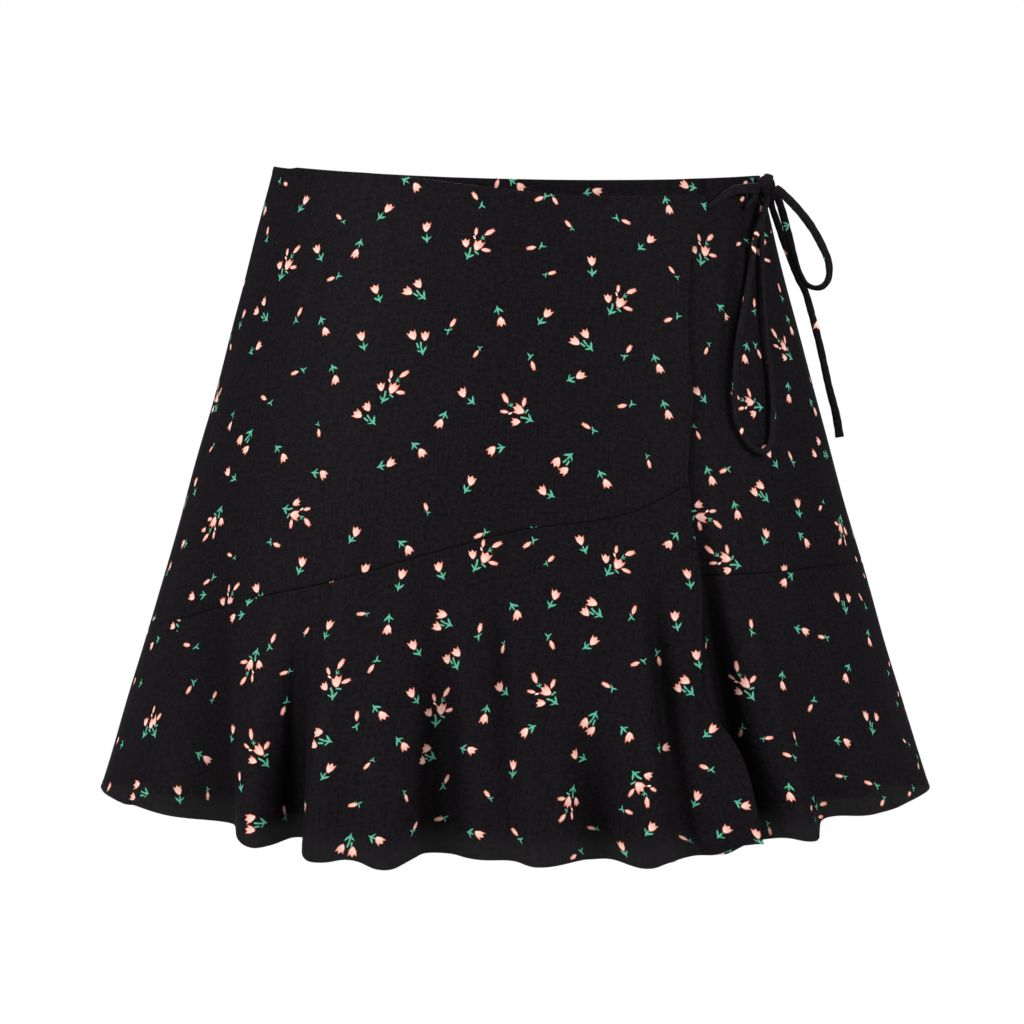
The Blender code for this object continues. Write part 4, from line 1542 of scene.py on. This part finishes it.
def add_tube(collection, name, rings, material, cloth_print, print_start, closed_ring=False):
    """A tube cut from the printed cloth at print_start. Its trim says no hem, no reverse, painted light.
    """
    count, sides = rings.shape[:2]
    faces, steps = tube_faces(count, sides, closed_ring)
    points = rings.reshape(-1, 3)
    step_groups = [steps]
    if not closed_ring:
        points = np.concatenate([points, [rings[0].mean(axis=0)], [rings[-1].mean(axis=0)]])
        first_faces, first_steps = cap_faces(0, len(points) - 2, sides, True)
        last_faces, last_steps = cap_faces(count - 1, len(points) - 1, sides, False)
        faces = faces + first_faces + last_faces
        step_groups.append(first_steps + last_steps)
    mesh = new_mesh(name, points, faces)
    girth = float(np.linalg.norm(rings[0] - np.roll(rings[0], 1, axis=0), axis=1).sum())
    scale = np.array([TIE_SPACING, girth / sides])
    corners = [(np.array(group, dtype=float) * scale)[..., ::-1] + print_start for group in step_groups]
    store_print(mesh, corners, [cloth_print.layers(group) for group in corners])
    # The ties' trim carries painted light that lightens their colour.
    store(mesh, "trim", "POINT", np.tile([1.0, -TIE_PAINTED_LIGHT, 0.0], (len(points), 1)))
    return new_piece(collection, mesh, material)


def lying_on_skirt(path):
    """Straight out from the skirt at each point of a path that lies on it."""
    width, depth = half_axes(0.0, -path[:, 2])
    out = np.stack([path[:, 0] / width**2, path[:, 1] / depth**2, np.zeros(len(path))], axis=1)
    return unit(out)


def facing_front(path):
    return np.tile([0.0, -1.0, 0.0], (len(path), 1))


Tie = namedtuple("Tie", "name node route sections facing far_end lay print_start")
TIES = (
    Tie(
        "tie_wrap_cloth", "tie_from_wrap", resting(WRAP_TIE_ROUTE), WRAP_TIE_SECTIONS,
        lying_on_skirt, far_end="object", lay="taut", print_start=(0.052, 0.031),
    ),
    Tie(
        "tie_side_cloth", "tie_from_side_seam", resting(SIDE_TIE_ROUTE), PLAIN_SECTIONS,
        lying_on_skirt, far_end="object", lay="taut", print_start=(-0.013, 0.02),
    ),
    Tie(
        "bow_loop_left_cloth", "bow_loop_left", resting(LEFT_LOOP_ROUTE), LEFT_LOOP_SECTIONS,
        lying_on_skirt, far_end="object", lay="hanging", print_start=(0.093, -0.31),
    ),
    Tie(
        "bow_loop_right_cloth", "bow_loop_right", RIGHT_LOOP_ROUTE, RIGHT_LOOP_SECTIONS,
        facing_front, far_end="object", lay="hanging", print_start=(-0.046, -0.1),
    ),
    Tie(
        "tie_long_end_cloth", "tie_long_end", LONG_END_ROUTE, LONG_END_SECTIONS,
        facing_front, far_end="bare", lay="hanging", print_start=(0.033, 0.071),
    ),
)

# The short end is a stub beside the knot.
SHORT_END = Tie(
    "tie_short_end_cloth", "tie_short_end", resting(SHORT_END_ROUTE), SHORT_END_SECTIONS,
    lying_on_skirt, far_end="bare", lay="hanging", print_start=(0.1205, 0.029),
)


def add_tie(collection, tie, material, cloth_print):
    path, length = smooth_path(tie.route)
    rings = tube(path, tie.sections, tie.facing(path))
    cloth = add_tube(collection, tie.name, rings, material, cloth_print, tie.print_start)
    attach(cloth, tie.node)
    return cloth, path, float(length)


# The knot's heart, a pad of folded tie, and the wraps round it: each ring's middle and tilt, its
# height and depth, and the cloth's section.
HEART_MIDDLE = Vector((0.1493, -0.0262, -0.0114))
HEART_SIZE = (0.0054, 0.0046, 0.0069)
HEART_LINES = 25
HEART_ROUNDNESS = 0.8
Crease = namedtuple("Crease", "slant place width depth")
HEART_CREASES = (Crease(-0.55, -0.15, 0.16, 0.09), Crease(0.7, 0.45, 0.14, 0.07))
HEART_PRINT = (0.128, 0.052)
RING_STEPS = 36
RING_PRINT = (0.105, 0.035)
RING_PRINT_STEP = 0.02
Wrap = namedtuple("Wrap", "x z tilt height depth width thick")
KNOT_WRAPS = (
    Wrap(0.0004, 0.0008, 14.0, 0.0056, 0.0042, 0.0056, 0.0022),
    Wrap(-0.0014, -0.001, -24.0, 0.0052, 0.004, 0.0034, 0.0018),
    Wrap(0.005, -0.0046, 38.0, 0.0036, 0.0032, 0.005, 0.0022),
)


def knot_heart():
    """Rings of points round an upright, rounded pad with two slanting creases."""
    turns = np.linspace(0.0, 2.0 * math.pi, TIE_SIDES * 2, endpoint=False)[None, :]
    rises = np.linspace(-0.5 * math.pi, 0.5 * math.pi, HEART_LINES + 2)[1:-1, None]
    kept = 1.0
    for crease in HEART_CREASES:
        along = np.cos(turns) + crease.slant * np.sin(rises)
        kept = kept - crease.depth * bump_at(along, crease.place, crease.width)
    girth = np.cos(rises) ** HEART_ROUNDNESS * kept
    x = HEART_SIZE[0] * girth * np.cos(turns)
    y = -HEART_SIZE[1] * girth * np.sin(turns)
    z = HEART_SIZE[2] * np.sin(rises) + 0.0 * turns
    return np.stack([x, y, z], axis=-1) + np.array(HEART_MIDDLE)


def knot_ring(wrap):
    turns = np.linspace(0.0, 2.0 * math.pi, RING_STEPS, endpoint=False)
    tilt = math.radians(wrap.tilt)
    up = np.array([math.sin(tilt), 0.0, math.cos(tilt)])
    forward = np.array([0.0, -1.0, 0.0])
    centre = np.array(KNOT_PLACE) + np.array([wrap.x, 0.0, wrap.z])
    spokes = wrap.height * np.cos(turns)[:, None] * up + wrap.depth * np.sin(turns)[:, None] * forward
    sections = [Section(share, wrap.width, wrap.thick) for share in (0.0, 1.0)]
    return tube(centre + spokes, sections, unit(spokes), closed_ring=True)


def join(name, objects):
    """One object from several, keeping their attributes."""
    for obj in bpy.context.selected_objects:
        obj.select_set(False)
    for obj in objects:
        obj.select_set(True)
    bpy.context.view_layer.objects.active = objects[0]
    bpy.ops.object.join()
    objects[0].name = name
    objects[0].data.name = name
    return objects[0]


def add_knot(collection, material, cloth_print):
    """The knot's heart and the wraps of the tie round it, as one piece."""
    parts = [add_tube(collection, "knot_heart", knot_heart(), material, cloth_print, HEART_PRINT)]
    for index, wrap in enumerate(KNOT_WRAPS):
        start = (RING_PRINT[0] + RING_PRINT_STEP * index, RING_PRINT[1])
        name = f"knot_wrap_{index}"
        parts.append(add_tube(collection, name, knot_ring(wrap), material, cloth_print, start, True))
    knot = join("bow_knot_cloth", parts)
    attach(knot, "bow_knot")
    return knot


def add_bow(collection, material, cloth_print):
    laid = [(tie, *add_tie(collection, tie, material, cloth_print)) for tie in TIES]
    short_end, _, _ = add_tie(collection, SHORT_END, material, cloth_print)
    knot = add_knot(collection, material, cloth_print)


# ---- Floor and light ----

FLOOR_DROP = 1.02
FLOOR_RADIUS = 4.0
FLOOR_CORNERS = 96


def add_floor(collection):
    material = new_material("pale_floor")
    set_inputs(
        material.node_tree.nodes["Principled BSDF"],
        {
            "Base Color": (0.92, 0.92, 0.92, 1.0),
            "Roughness": 0.9,
            "Specular IOR Level": 0.1,
            "Emission Color": (1.0, 1.0, 1.0, 1.0),
            "Emission Strength": 0.3,
        },
    )
    turns = np.linspace(0.0, 2.0 * math.pi, FLOOR_CORNERS, endpoint=False)
    rim = [FLOOR_RADIUS * np.cos(turns), FLOOR_RADIUS * np.sin(turns), -FLOOR_DROP + 0.0 * turns]
    mesh = new_mesh("studio_floor", np.stack(rim, axis=-1), [list(range(FLOOR_CORNERS))])
    new_piece(collection, mesh, material)


# Softboxes stand on a circle round the skirt's middle, turned and raised by these degrees.
Softbox = namedtuple("Softbox", "name turn rise width height power")
SKIRT_MIDDLE = Vector((0.0, 0.0, -0.2))
SOFTBOX_DISTANCE = 3.0
SOFTBOXES = (
    Softbox("key_left", -56.0, 34.0, 1.0, 1.3, 102.0),
    Softbox("fill_right", 56.0, 30.0, 1.6, 1.8, 82.0),
    Softbox("back_fill", 180.0, 48.0, 1.2, 1.4, 60.0),
)


def softbox_place(box):
    turn = math.radians(box.turn)
    rise = math.radians(box.rise)
    flat = SOFTBOX_DISTANCE * math.cos(rise)
    away = Vector((flat * math.sin(turn), -flat * math.cos(turn), SOFTBOX_DISTANCE * math.sin(rise)))
    return SKIRT_MIDDLE + away


def add_lights(collection):
    for box in SOFTBOXES:
        data = bpy.data.lights.new(box.name, "AREA")
        data.shape = "RECTANGLE"
        data.size = box.width
        data.size_y = box.height
        data.energy = box.power
        light = bpy.data.objects.new(box.name, data)
        light.location = softbox_place(box)
        aim = SKIRT_MIDDLE - light.location
        light.rotation_euler = aim.to_track_quat("-Z", "Y").to_euler()
        collection.objects.link(light)


BACKDROP = 1.0
ROOM_LIGHT = 0.2


def light_world():
    """A white backdrop in a room that is dimmer than it, as in a product photographer's studio."""
    world = bpy.data.worlds.new("studio")
    world.use_nodes = True
    nodes = world.node_tree.nodes
    background = nodes["Background"]
    background.inputs["Color"].default_value = (1.0, 1.0, 1.0, 1.0)
    seen = nodes.new("ShaderNodeLightPath")
    strength = nodes.new("ShaderNodeMapRange")
    strength.inputs["To Min"].default_value = ROOM_LIGHT
    strength.inputs["To Max"].default_value = BACKDROP
    world.node_tree.links.new(seen.outputs["Is Camera Ray"], strength.inputs["Value"])
    world.node_tree.links.new(strength.outputs["Result"], background.inputs["Strength"])
    bpy.context.scene.world = world
    bpy.context.scene.view_settings.view_transform = "Standard"


# ---- The whole ----


def attach(piece, node):
    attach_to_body(piece, "root")
    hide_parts(node)


def add_skirt(collection, upper, flounce, cloth_print):
    for panel in PANELS:
        material = upper if panel.finish.top == FACED else flounce
        print_there = filled_in(Chart(panel).motifs(), cloth_print)
        cloth, size = add_panel(collection, panel, Print(print_there), material)
        attach(cloth, panel.node)


def main():
    add_camera()
    collection = bpy.data.collections.new("wrap_skirt_cloth")
    bpy.context.scene.collection.children.link(collection)
    light_world()
    cloth_print = whole_print(Chart(PANELS[0]).motifs())
    add_bow(collection, crepe_material("tie_crepe_cloth", TIE_SHEEN), Print(cloth_print))
    upper = crepe_material("printed_crepe_upper", PANEL_SHEEN)
    flounce = crepe_material("printed_crepe_flounce", PANEL_SHEEN, FLOUNCE_SEE_THROUGH)
    add_skirt(collection, upper, flounce, cloth_print)
    add_floor(collection)
    add_lights(collection)


main()
